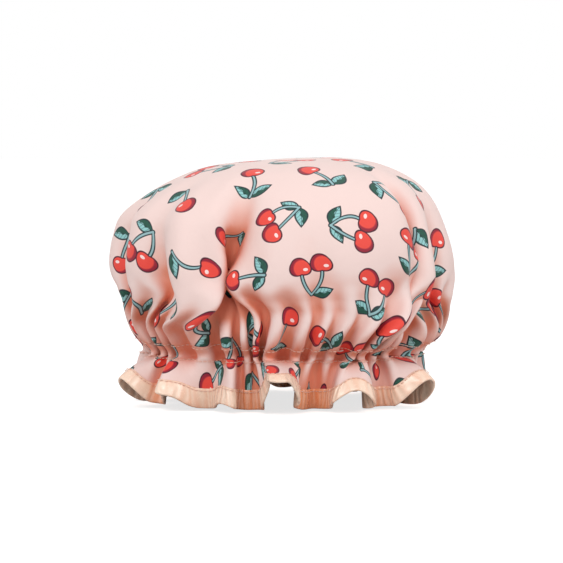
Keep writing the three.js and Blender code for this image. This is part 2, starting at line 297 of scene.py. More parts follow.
    def smooth_grid(
        self, angles: np.ndarray, rows: np.ndarray
    ) -> tuple[np.ndarray, np.ndarray]:
        """Works out the smooth form and its outward directions, the ruffle hanging straight down.

        Args:
            angles: places round the cap, in radians.
            rows: distances along the cloth.

        Returns:
            Points and unit normals, each of shape (rows, angles, 3).
        """
        crown = rows <= self.crown_cloth
        grid = np.empty((len(rows), len(angles), 3))
        grid[crown] = self.crown_grid(angles, rows[crown])
        across, depth, level = np.cos(angles), np.sin(angles), 0 * angles
        half_length, half_width = self.band_half_length, self.band_half_width
        outward = unit(np.stack([across / half_length, depth / half_width, level], axis=-1))
        band = np.stack([half_length * across, half_width * depth, level], axis=-1)
        for i in np.flatnonzero(~crown):
            grid[i] = band
            grid[i, :, 2] = self.band_height - (rows[i] - self.crown_cloth)
        along = np.gradient(grid, axis=0)
        round_cap = np.roll(grid, -1, axis=1) - np.roll(grid, 1, axis=1)
        normal = unit(np.cross(round_cap, -along))
        normal[rows < self.flat_middle] = (0, 0, 1)
        ease = smooth_step(rows, self.crown_cloth - self.upright_zone, self.crown_cloth)
        ease = ease[:, None, None]
        normal = unit(normal * (1 - ease) + outward[None] * ease)
        for dent in self.dents:
            aside = degrees_past(angles, dent.degrees)[None] / dent.width
            along_cut = (rows - dent.row) / dent.length
            push = dent.depth * np.exp(-(aside**2) - along_cut[:, None] ** 2)
            grid -= normal * push[..., None]
        return grid, normal

    def fold_turns(self, places: np.ndarray, row: float) -> np.ndarray:
        """Works out how far the deep folds turn the cloth's direction.

        Args:
            places: places round the cloth, from 0 to 1.
            row: the ring's distance along the cloth.

        Returns:
            The turn at each place, before it is scaled to the ring.
        """
        turns = np.zeros_like(places)
        low = smooth_step(row, *self.drift_rows)
        for fold in self.folds:
            away = (places - (fold.degrees + fold.drift * low) / 360 + 0.5) % 1 - 0.5
            x = away * 360 / fold.width
            turns += fold.strength * (x * np.exp(0.5 - x * x / 2) + fold.lean * np.exp(-x * x / 2))
        return turns + rippled(places, self.fold_ripples)

    def pleat_turns(self, places: np.ndarray) -> np.ndarray:
        """Works out how far the gathers' pleats turn the cloth's direction.

        Args:
            places: places round the cloth, from 0 to 1.

        Returns:
            The turn at each place, before it is scaled to the ring.
        """
        phase = FULL_TURN * self.pleats * places
        phase += rippled(places, self.pleat_places)
        return rippled(places, self.pleat_sizes, 1.0) * np.sin(phase)

    def wave_turns(self, places: np.ndarray) -> np.ndarray:
        """Works out how far the ruffle's waves turn the cloth's direction.

        Args:
            places: places round the cloth, from 0 to 1.

        Returns:
            The turn at each place, before it is scaled to the ring.
        """
        crests = np.array(sorted(self.crest_degrees)) / 360
        knots = np.concatenate([crests[-1:] - 1, crests, crests[:1] + 1])
        phase = FULL_TURN * np.interp(places, knots, np.arange(-1, len(crests) + 1))
        return -rippled(places, self.wave_sizes, 1.0) * np.sin(phase)

    def turns_at(self, row: float, places: np.ndarray, target: float) -> np.ndarray:
        """Works out the cloth's direction along one ring, so that its whole length fits the ring.

        Args:
            row: the ring's distance along the cloth.
            places: places round the cloth, from 0 to 1.
            target: the smooth ring's length as a share of the cloth's.

        Returns:
            The angle between the cloth and the smooth ring, at each place.
        """
        target = min(target, self.most_target)
        plain = np.zeros_like(places)
        if row <= self.pleat_start:
            return fit_turns(plain, self.fold_turns(places, row), target)
        if row <= self.crown_cloth + self.casing_half:
            nearly = 1 - (1 - target) * self.nearly_all
            fold_part = fit_turns(plain, self.fold_turns(places, row), nearly)
            fold_share = self.fold_share - self.fold_loss * smooth_step(row, *self.fold_loss_rows)
            mix = 1 - smooth_step(row, *self.pleat_rows)
            base = fold_part * max(mix, self.least_fold) * fold_share / self.fold_share
            return fit_turns(base, self.pleat_turns(places), target)
        base = self.hem_pleat_turn * self.pleat_turns(places)
        return fit_turns(base, self.wave_turns(places), target * self.hem_slack)

    def ring(
        self, row: float, smooth_ring: np.ndarray, normals: np.ndarray, count: int
    ) -> tuple[np.ndarray, np.ndarray]:
        """Lays the cloth of one ring along its smooth form, with its folds.

        Args:
            row: the ring's distance along the cloth.
            smooth_ring: the smooth form's points there, evenly spaced by angle.
            normals: the outward directions there.
            count: how many points the ring gets.

        Returns:
            Points of shape (count, 3), and a like array of how far each is moved out of the smooth form.
        """
        fine = count * self.fine_steps
        places = np.arange(fine) / fine
        closed, arc = closed_line(smooth_ring)
        turns = self.turns_at(row, places, arc[-1] / (FULL_TURN * row))
        step = FULL_TURN * row / fine
        advance = np.cumsum(np.cos(turns)) * step
        scale = arc[-1] / advance[-1]
        advance = np.concatenate([[0], advance[:-1]]) * scale
        rise = np.cumsum(np.sin(turns)) * step * scale
        rise = np.concatenate([[0], rise[:-1]])
        rise -= rise[-1] * places
        rise -= slow_part(rise, self.slow_waves)
        top = self.crest_share * (1 - smooth_step(row, *self.crest_rows))
        rise -= top * (np.percentile(rise, self.crest_percent) - rise.mean()) + rise.mean()
        advance -= (advance - arc[-1] * places).mean()
        picked = np.arange(count) * self.fine_steps
        where = advance[picked] % arc[-1]
        moved = rise[picked, None] * read_along(where, arc, np.concatenate([normals, normals[:1]]))
        return read_along(where, arc, closed) + moved, moved


def smooth_step(value: np.ndarray | float, low: float, high: float) -> np.ndarray | float:
    """Eases from 0 at low to 1 at high."""
    share = np.clip((np.asarray(value, float) - low) / (high - low), 0, 1)
    return share * share * (3 - 2 * share)


def unit(vectors: np.ndarray) -> np.ndarray:
    """The same directions at a length of 1."""
    return vectors / np.maximum(np.linalg.norm(vectors, axis=-1, keepdims=True), NO_LENGTH)


def degrees_past(angles: np.ndarray, degrees: float) -> np.ndarray:
    """How far each angle, given in radians, lies past a place round the cap, from -180 to 180 degrees."""
    return (np.degrees(angles) - degrees + 180) % 360 - 180


def rippled(
    places: np.ndarray, ripples: tuple[Ripple, ...], level: np.ndarray | float = 0.0
) -> np.ndarray:
    """Adds ripples to a level.

    Args:
        places: places round the cloth, from 0 to 1.
        ripples: the ripples.
        level: what they are added to.

    Returns:
        The sum at each place.
    """
    for ripple in ripples:
        level = level + ripple.size * np.sin(FULL_TURN * ripple.times * places + ripple.phase)
    return level


def closed_line(line: np.ndarray) -> tuple[np.ndarray, np.ndarray]:
    """Closes a ring of points and measures it.

    Args:
        line: the points, in order.

    Returns:
        The points with the first one again at the end, and each one's distance along the ring.
    """
    closed = np.concatenate([line, line[:1]])
    steps = np.linalg.norm(np.diff(closed, axis=0), axis=1)
    return closed, np.concatenate([[0], np.cumsum(steps)])


def read_along(where: np.ndarray, arc: np.ndarray, values: np.ndarray) -> np.ndarray:
    """Reads points or directions at distances along a measured line."""
    return np.stack([np.interp(where, arc, values[:, k]) for k in range(3)], axis=1)


def smooth_line(control: np.ndarray, steps: int = 24) -> np.ndarray:
    """Runs a smooth line through control points, along the first axis.

    Args:
        control: the points.
        steps: how many steps lie between two of them.

    Returns:
        The line's points, the control points among them.
    """
    padded = np.concatenate([2 * control[:1] - control[1:2], control, 2 * control[-1:] - control[-2:-1]])
    line = []
    for i in range(len(control) - 1):
        a, b, c, d = padded[i : i + 4]
        square, cube = 2 * a - 5 * b + 4 * c - d, 3 * b - a - 3 * c + d
        for t in np.arange(steps) / steps:
            line.append(0.5 * (2 * b + (c - a) * t + square * t**2 + cube * t**3))
    line.append(control[-1])
    return np.array(line)


def slow_part(values: np.ndarray, keep: int) -> np.ndarray:
    """Picks out the part of a closed curve that changes no faster than a few times round.

    Args:
        values: the curve's values, evenly spaced.
        keep: the most times round that still count.

    Returns:
        That part's values.
    """
    spectrum = np.fft.rfft(values)
    spectrum[keep + 1 :] = 0
    return np.fft.irfft(spectrum, len(values))


def blurred(values: np.ndarray, reach: int) -> np.ndarray:
    """Smooths a closed run of values.

    Args:
        values: the values, in order round the cap.
        reach: how many neighbours on each side count.

    Returns:
        As many smoothed values.
    """
    weights = np.hanning(2 * reach + 3)[1:-1]
    padded = np.concatenate([values[-reach:], values, values[:reach]])
    return np.convolve(padded, weights / weights.sum(), "valid")


def fit_turns(
    base: np.ndarray, shape: np.ndarray, target: float, most: float = 2.6, halvings: int = 30
) -> np.ndarray:
    """Scales one set of folds on top of another until the cloth fits its ring.

    Args:
        base: the turns that stay as they are.
        shape: the turns that are scaled.
        target: the ring's length as a share of the cloth's.
        most: the most that they are scaled by.
        halvings: how many times the search halves its range.

    Returns:
        The sum of both.
    """
    low, high = 0.0, most
    for _ in range(halvings):
        middle = (low + high) / 2
        if np.cos(base + middle * shape).mean() > target:
            low = middle
        else:
            high = middle
    return base + low * shape


def band_faces(rings: int, columns: int, closed: bool = False) -> list[tuple[int, ...]]:
    """Lists the faces between closed rings of the same number of points.

    Args:
        rings: how many rings there are.
        columns: each one's number of points.
        closed: whether the last ring joins the first.

    Returns:
        The faces, each by its points' numbers.
    """
    faces = []
    for k in range(rings if closed else rings - 1):
        a, b = k * columns, (k + 1) % rings * columns
        for c in range(columns):
            after = (c + 1) % columns
            faces.append((a + c, b + c, b + after, a + after))
    return faces


@dataclass
class RoundCut:
    """The round of cloth as a net of points, finer towards the hem."""

    shape: CapShape
    columns: int = 464
    row_step: float = 0.0031

    # The inner zones: where each ends, by what its columns are divided, and its number of rings.
    zones: tuple[tuple[float, int, int], ...] = (
        (0.017, 16, 3), (0.034, 8, 3), (0.068, 4, 7), (0.136, 2, 17),
    )
    form_angles: int = 720

    # How the ruffle spreads and falls from the waist to the hem, as powers of the way along it, the least
    # share of its length that it falls, and how many neighbours smooth that.
    spread_power: float = 0.75
    fall_power: float = 1.7
    least_fall: float = 0.3
    fall_blur: int = 5

    def layout(self) -> list[tuple[float, int]]:
        """Lays out the rings from the middle out.

        Returns:
            Each ring's distance along the cloth and number of points.
        """
        rings = [(0.0, 1)]
        start = 0.0
        for end, divider, count in self.zones:
            for i in range(1, count + 1):
                rings.append((start + (end - start) * i / count, self.columns // divider))
            start = end
        count = round((self.shape.hem - start) / self.row_step)
        for i in range(1, count + 1):
            rings.append((start + (self.shape.hem - start) * i / count, self.columns))
        return rings

    def hem_ring(
        self, angles: np.ndarray, smooth_ring: np.ndarray, normals: np.ndarray
    ) -> tuple[np.ndarray, np.ndarray]:
        """Lays the hem with its waves, and turns it out or in at the flips.

        Args:
            angles: the smooth ring's angles, in radians.
            smooth_ring: its points.
            normals: the outward directions there.

        Returns:
            The hem's points, and how far the waves move each out of the smooth form.
        """
        shape = self.shape
        flared = smooth_ring + normals * shape.flare
        ring, moved = shape.ring(shape.hem, flared, normals, self.columns)
        turned = np.arctan2(ring[:, 1] / shape.band_half_width, ring[:, 0] / shape.band_half_length)
        reach = np.zeros(self.columns)
        for flip in shape.flips:
            aside = degrees_past(turned, flip.degrees) / flip.width
            reach += flip.reach * np.exp(-(aside**2))
        for k in range(2):
            ring[:, k] += reach * np.interp(turned % FULL_TURN, angles, normals[:, k], period=FULL_TURN)
        return ring, moved

    def points(self) -> tuple[np.ndarray, np.ndarray]:
        """Lays the whole round over the worn form.

        Returns:
            Points of shape (points, 3), ring by ring, and how far the folds move each out of the
            smooth form.
        """
        shape = self.shape
        rings = self.layout()
        rows = np.array([row for row, _ in rings])
        angles = np.arange(self.form_angles) / self.form_angles * FULL_TURN
        grid, normals = shape.smooth_grid(angles, rows)
        hem, hem_moved = self.hem_ring(angles, grid[-1], normals[-1])
        foot = shape.crown_cloth + shape.casing_half / 2
        waist, waist_moved, waist_row = hem, hem_moved, foot
        placed, moves = [], []
        for i, (row, count) in enumerate(rings):
            if count == 1:
                ring, moved = grid[i, :1], np.zeros((1, 3))
            elif row <= foot:
                ring, moved = shape.ring(row, grid[i], normals[i], count)
                waist, waist_moved, waist_row = ring, moved, row
            else:
                length = shape.hem - waist_row
                share = (row - waist_row) / length
                ring = waist + (hem - waist) * share**self.spread_power
                moved = waist_moved + (hem_moved - waist_moved) * share
                away = np.linalg.norm(hem[:, :2] - waist[:, :2], axis=1)
                fall = np.sqrt(np.maximum(length**2 - away**2, (self.least_fall * length) ** 2))
                ring[:, 2] = waist[:, 2] - blurred(fall, self.fall_blur) * share**self.fall_power
            placed.append(ring)
            moves.append(moved)
        points = np.concatenate(placed)
        points[:, 0] += shape.centre_x
        points[:, 1] += shape.centre_y
        return points, np.concatenate(moves)

    def row_of_each(self) -> np.ndarray:
        """Each point's distance along the cloth."""
        return np.concatenate([np.full(count, row) for row, count in self.layout()])

    def flat_points(self) -> np.ndarray:
        """Works out the same points on the flat cut.

        Returns:
            Each point's (x, y) from the cut's middle.
        """
        flat = []
        for row, count in self.layout():
            angles = np.arange(count) / count * FULL_TURN
            flat.append(np.stack([row * np.cos(angles), row * np.sin(angles)], axis=1))
        return np.concatenate(flat)

    def faces(self) -> list[tuple[int, ...]]:
        """Lists the net's faces, which face outwards.

        Returns:
            The faces, each by its points' numbers.
        """
        faces: list[tuple[int, ...]] = []
        rings = self.layout()
        start = 0
        for (_, above), (_, below) in zip(rings, rings[1:]):
            under = start + above
            for c in range(below):
                here, after = under + c, under + (c + 1) % below
                if above == 1:
                    faces.append((start, here, after))
                elif above == below:
                    faces.append((start + c, here, after, start + (c + 1) % above))
                elif c % 2 == 0:
                    up = start + c * above // below
                    up_next = start + (c * above // below + 1) % above
                    last = under + (c + 2) % below
                    faces.append((up, here, after))
                    faces.append((up, after, up_next))
                    faces.append((up_next, after, last))
            start = under
        return faces

    def ring_start(self, index: int) -> int:
        """The number of a ring's first point."""
        return sum(count for _, count in self.layout()[:index])


def mesh_object(name: str, points: np.ndarray, faces: list[tuple[int, ...]]) -> bpy.types.Object:
    """Makes a smooth-shaded mesh object at the origin and links it to the scene.

    Args:
        name: the piece's name.
        points: its points.
        faces: its faces, each by its points' numbers.

    Returns:
        The object.
    """
    mesh = bpy.data.meshes.new(name)
    mesh.from_pydata(points.tolist(), [], faces)
    mesh.polygons.foreach_set("use_smooth", [True] * len(mesh.polygons))
    mesh.update()
    thing = bpy.data.objects.new(name, mesh)
    bpy.context.scene.collection.objects.link(thing)
    return thing


@dataclass
class Settling:
    """How the gathered round settles as cloth, held at its casing, its crown puffed out a little by air."""

    cut: RoundCut
    frames: int = 16
    quality: int = 6
    mass: float = 0.1
    tension: float = 30.0
    shear: float = 8.0
    bending: float = 1.2
    pressure: float = 0.35
    puff_levels: int = 10
    puff_ends: float = 0.035
    puff_clear: float = 0.008
    gravity_share: float = 0.35
    air: float = 3.0
    pin: float = 10.0
    crown_hold: float = 0.45
    ruffle_hold: float = 0.35
    row_slack: float = 1e-6
    floor: float = 0.0022
    floor_ease: float = 0.0008

    def hold(self, cloth: bpy.types.Object, rows: np.ndarray) -> None:
        """Writes how firmly each point is held, and how much of the air's pressure it gets.

        Args:
            cloth: the gathered round.
            rows: each point's distance along the cloth.
        """
        shape = self.cut.shape
        held = cloth.vertex_groups.new(name="held")
        crown = rows < shape.crown_cloth
        inside = np.abs(rows - shape.crown_cloth) <= shape.casing_half / 2 + self.row_slack
        for chosen, weight in ((crown, self.crown_hold), (~crown, self.ruffle_hold), (inside, 1.0)):
            held.add(np.flatnonzero(chosen).tolist(), weight, "REPLACE")
        puffed = cloth.vertex_groups.new(name="puffed")
        low, high = shape.crown_cloth - self.puff_ends, shape.crown_cloth - self.puff_clear
        share = 1 - smooth_step(rows, low, high)
        for weight in np.linspace(1 / self.puff_levels, 1, self.puff_levels):
            chosen = np.flatnonzero(np.abs(share - weight) <= 0.5 / self.puff_levels)
            puffed.add(chosen.tolist(), float(weight), "REPLACE")

    def run(self, cloth: bpy.types.Object) -> None:
        """Lets the cloth settle from its gathered form, with the flat cut as its unstretched size.

        Args:
            cloth: the gathered round, whose points are ring by ring.
        """
        cloth.shape_key_add(name="gathered")
        flat = cloth.shape_key_add(name="flat")
        level = np.zeros((len(cloth.data.vertices), 1))
        flat.data.foreach_set("co", np.concatenate([self.cut.flat_points(), level], axis=1).ravel())
        self.hold(cloth, self.cut.row_of_each())
        modifier = cloth.modifiers.new("settling", "CLOTH")
        settings = modifier.settings
        settings.quality = self.quality
        settings.mass = self.mass
        settings.air_damping = self.air
        settings.tension_stiffness = self.tension
        settings.compression_stiffness = self.tension
        settings.shear_stiffness = self.shear
        settings.bending_stiffness = self.bending
        settings.rest_shape_key = flat
        settings.vertex_group_mass = "held"
        settings.pin_stiffness = self.pin
        settings.use_pressure = True
        settings.uniform_pressure_force = self.pressure
        settings.vertex_group_pressure = "puffed"
        settings.effector_weights.gravity = self.gravity_share
        modifier.collision_settings.use_collision = False
        modifier.collision_settings.use_self_collision = False
        modifier.point_cache.frame_end = self.frames
        scene = bpy.context.scene
        for frame in range(1, self.frames + 1):
            scene.frame_set(frame)
        settled = cloth.evaluated_get(bpy.context.evaluated_depsgraph_get())
        places = np.empty(len(cloth.data.vertices) * 3)
        settled.data.vertices.foreach_get("co", places)
        cloth.modifiers.remove(modifier)
        cloth.shape_key_clear()
        cloth.vertex_groups.clear()
        height = (places[2::3] - self.floor) / self.floor_ease
        places[2::3] = self.floor + self.floor_ease * np.logaddexp(0, height)
        cloth.data.vertices.foreach_set("co", places)
        cloth.data.update()
        scene.frame_set(1)


@dataclass(frozen=True)
class Value:
    """A number or colour that a material's nodes work out, which Python's own sums can go on with."""

    graph: Graph
    socket: bpy.types.NodeSocket

    def __add__(self, other: Number) -> Value:
        """The sum."""
        return self.graph.math("ADD", self, other)

    def __radd__(self, other: float) -> Value:
        """The sum with a number."""
        return self.graph.math("ADD", other, self)

    def __sub__(self, other: Number) -> Value:
        """The difference."""
        return self.graph.math("SUBTRACT", self, other)

    def __rsub__(self, other: float) -> Value:
        """The difference from a number."""
        return self.graph.math("SUBTRACT", other, self)

    def __mul__(self, other: Number) -> Value:
        """The product."""
        return self.graph.math("MULTIPLY", self, other)

    def __truediv__(self, other: Number) -> Value:
        """The quotient."""
        return self.graph.math("DIVIDE", self, other)

    def __abs__(self) -> Value:
        """The size without its sign."""
        return self.graph.math("ABSOLUTE", self)

    def clamped(self) -> Value:
        """Keeps the value between 0 and 1."""
        result = self.graph.math("ADD", self, 0.0)
        result.socket.node.use_clamp = True
        return result


Number = Value | float


class Graph:
    """A material and its nodes, with short names for the ones that this object needs."""

    def __init__(self, name: str) -> None:
        """Makes the material.

        Args:
            name: the material's name.
        """
        self.material = bpy.data.materials.new(name)
        self.material.use_nodes = True
        self.tree = self.material.node_tree
        self.shader = self.tree.nodes["Principled BSDF"]
        self.split: dict[bpy.types.NodeSocket, tuple[Value, Value, Value]] = {}

    def node(self, kind: str, outlet: int | str, **inputs: Number | tuple[float, ...]) -> Value:
        """Adds one node.

        Args:
            kind: the node's type, without its ShaderNode.
            outlet: which of its outputs is wanted.
            inputs: what its inputs get, by name with _ for a space.

        Returns:
            The wanted output.
        """
        made = self.tree.nodes.new("ShaderNode" + kind)
        for name, value in inputs.items():
            self.feed(made.inputs[name.replace("_", " ")], value)
        return Value(self, made.outputs[outlet])

    def surface(self, **inputs: Number | tuple[float, ...]) -> bpy.types.Material:
        """Finishes the material.

        Args:
            inputs: what the shader's inputs get, by name with _ for a space.

        Returns:
            The material.
        """
        for name, value in inputs.items():
            self.feed(self.shader.inputs[name.replace("_", " ")], value)
        return self.material

    def feed(self, socket: bpy.types.NodeSocket, value: Number | tuple[float, ...]) -> None:
        """Links a value to an input, or writes a plain number there.

        Args:
            socket: the input.
            value: what it gets.
        """
        if isinstance(value, Value):
            self.tree.links.new(value.socket, socket)
        else:
            socket.default_value = value

    def math(self, operation: str, *values: Number) -> Value:
        """Adds one Math node.

        Args:
            operation: what it does.
            values: what it does it with.

        Returns:
            Its result.
        """
        made = self.tree.nodes.new("ShaderNodeMath")
        made.operation = operation
        for socket, value in zip(made.inputs, values):
            self.feed(socket, value)
        return Value(self, made.outputs[0])

    def sine(self, angle: Value) -> Value:
        """The sine of an angle in radians."""
        return self.math("SINE", angle)

    def parts(self, colour: Value) -> tuple[Value, Value, Value]:
        """Splits a colour or vector.

        Args:
            colour: what is split.

        Returns:
            Its three parts.
        """
        if colour.socket not in self.split:
            made = self.tree.nodes.new("ShaderNodeSeparateXYZ")
            self.feed(made.inputs[0], colour)
            self.split[colour.socket] = tuple(Value(self, outlet) for outlet in made.outputs)
        return self.split[colour.socket]

    def vector(self, x: Number, y: Number, z: Number = 0.0) -> Value:
        """Three numbers as a vector."""
        return self.node("CombineXYZ", 0, X=x, Y=y, Z=z)

    def length(self, x: Value, y: Value) -> Value:
        """The length of a line with these sides."""
        return self.math("SQRT", x * x + y * y)

    def mix(self, share: Number, first: Value | Colour, second: Value | Colour) -> Value:
        """Blends two colours.

        Args:
            share: the second colour's share.
            first: the first colour.
            second: the second colour.

        Returns:
            The blend.
        """
        made = self.tree.nodes.new("ShaderNodeMix")
        made.data_type = "RGBA"
        factor, first_inlet, second_inlet, blend = 0, 6, 7, 2
        self.feed(made.inputs[factor], share)
        for inlet, colour in ((first_inlet, first), (second_inlet, second)):
            self.feed(made.inputs[inlet], colour if isinstance(colour, Value) else colour.linear)
        return Value(self, made.outputs[blend])

    def noise(self, place: Value, scale: float, detail: float = 2.0, roughness: float = 0.5) -> Value:
        """Cloudy noise from 0 to 1."""
        return self.node("TexNoise", 0, Vector=place, Scale=scale, Detail=detail, Roughness=roughness)

    def on_cut(self) -> Value:
        """Finds the place on the flat cut.

        Returns:
            The place, in metres from the cut's middle.
        """
        made = self.tree.nodes.new("ShaderNodeUVMap")
        made.uv_map = CUT_MAP
        across, along, _ = self.parts(Value(self, made.outputs[0]))
        return self.vector((across - 0.5) * CUT_SPAN, (along - 0.5) * CUT_SPAN)

    def painted_fold_shade(self) -> Value:
        """Reads the painted shade that a place gets, from how deep in a fold it lies and how far it faces
        down.

        Returns:
            The painted shade's share, from 0 to 1.
        """
        depth = self.node("Attribute", "Fac")
        depth.socket.node.attribute_name = PAINTED_FOLD_SHADE
        return depth

    def closeness(self, reach: float) -> Value:
        """How much other cloth lies within reach of a place, from 0 to 1."""
        return 1.0 - self.node("AmbientOcclusion", "AO", Distance=reach)

    def bump(
        self, height: Value, distance: float, strength: float = 1.0, over: Value | None = None
    ) -> Value:
        """Adds bumps.

        Args:
            height: the bumps' height, in units of distance.
            distance: the height's unit.
            strength: how much they tell.
            over: other bumps that these lie on.

        Returns:
            The directions of the bumped surface.
        """
        inputs: dict[str, Number] = {"Height": height, "Distance": distance, "Strength": strength}
        if over is not None:
            inputs["Normal"] = over
        return self.node("Bump", 0, **inputs)


@dataclass(frozen=True)
class Colour:
    """A colour as a screen shows it, from 0 to 255."""

    red: int
    green: int
    blue: int

    @property
    def linear(self) -> tuple[float, float, float, float]:
        """The colour in the light's own measure, by the usual curve of screens."""
        shares = [value / 255 for value in (self.red, self.green, self.blue)]
        lit = [s / 12.92 if s <= 0.04045 else ((s + 0.055) / 1.055) ** 2.4 for s in shares]
        return (*lit, 1.0)

    def times(self, red: float, green: float, blue: float) -> Colour:
        """The colour with each part multiplied."""
        return Colour(round(self.red * red), round(self.green * green), round(self.blue * blue))


def cover(distance: Value, soft_edge: float = 0.22) -> Value:
    """How much of a shape covers a place, from its distance to the shape's edge in millimetres."""
    return (0.5 - distance / soft_edge).clamped()


@dataclass(frozen=True)
class Fruit:
    """How one cherry is drawn round its middle, in millimetres: its outline, its lit part and its shine."""

    radius: float = 5.5
    squash: float = 1.04
    dent: float = 2.2
    dent_start: float = 3.0
    dent_height: float = 8.0
    lit_radius: float = 5.3
    lit_left: float = 1.2
    lit_up: float = 1.3
    lit_edge: float = 0.25
    shine_left: float = 2.9
    shine_up: float = 2.0
    shine_width: float = 1.5
    shine_height: float = 0.95

    def draw(self, graph: Graph, u: Value, v: Value) -> tuple[Value, Value, Value]:
        """Draws the cherry.

        Args:
            graph: the material.
            u: the place across from the cherry's middle.
            v: the place up from the cherry's middle.

        Returns:
            The distance to its edge, and how much shade and shine lie there.
        """
        pull = ((v + self.dent_start) / self.dent_height).clamped() * self.dent
        distance = graph.length(abs(u) - pull, v * self.squash) - self.radius
        lit = graph.length(u + self.lit_left, v - self.lit_up)
        shade = cover((self.lit_radius - lit) * self.lit_edge)
        across, up = (u + self.shine_left) / self.shine_width, (v - self.shine_up) / self.shine_height
        return distance, shade, cover(graph.length(across, up) - 1.0)


@dataclass(frozen=True)
class Stalk:
    """How a bent stalk is drawn, in millimetres: its top, its half width and how much that grows."""

    top: tuple[float, float] = (1.5, 11.0)
    half: float = 0.75
    growth: float = 0.25
    slant: float = 0.92

    def draw(self, graph: Graph, u: Value, v: Value, foot: tuple[Number, float], bend: Value) -> Value:
        """Draws the stalk.

        Args:
            graph: the material.
            u: the place across.
            v: the place up.
            foot: where the stalk meets its cherry.
            bend: how far its middle bends aside.

        Returns:
            The distance to its edge.
        """
        share = ((v - foot[1]) / (self.top[1] - foot[1])).clamped()
        middle = share * (self.top[0] - foot[0]) + share * (1.0 - share) * 4.0 * bend + foot[0]
        height = share * (self.top[1] - foot[1]) + foot[1]
        return graph.length(u - middle, v - height) * self.slant - (self.half + share * self.growth)


@dataclass(frozen=True)
class Leaf:
    """How one leaf is drawn, in millimetres: which way it points, its size, its dark half and its veins."""

    degrees: float
    length: float
    width: float
    bow: float = 0.7
    taper: float = 0.25
    slant: float = 0.85
    jags: float = 9.0
    jag_size: float = 0.55
    dark_lean: float = 1.1
    rib_half: float = 0.16
    vein_slant: float = 0.8
    vein_turn: float = 2.6
    vein_start: float = 0.93
    vein_edge: float = 0.8

    def draw(
        self, graph: Graph, u: Value, v: Value, foot: tuple[float, float]
    ) -> tuple[Value, Value, Value]:
        """Draws the leaf.

        Args:
            graph: the material.
            u: the place across.
            v: the place up.
            foot: where the leaf begins.

        Returns:
            The distance to its edge, how much dark green lies there, and how much vein.
        """
        cosine, sine = math.cos(math.radians(self.degrees)), math.sin(math.radians(self.degrees))
        along = ((u - foot[0]) * cosine + (v - foot[1]) * sine) / (self.length / 2) - 1.0
        side = (v - foot[1]) * cosine - (u - foot[0]) * sine
        side = side + (1.0 - along * along) * self.bow
        half = (1.0 - along * along) * (1.0 - along * self.taper) * (self.width / 2)
        distance = (abs(side) - half) * self.slant
        jagged = graph.sine(along * self.jags) * self.jag_size
        dark = cover(side + jagged * (1.0 - along) + along * self.dark_lean)
        veins = graph.sine((along * (self.length / 2) - abs(side) * self.vein_slant) * self.vein_turn)
        rib = abs(side) - self.rib_half
        vein = cover(graph.math("MINIMUM", rib, (self.vein_start - veins) * self.vein_edge))
        return distance, dark, vein


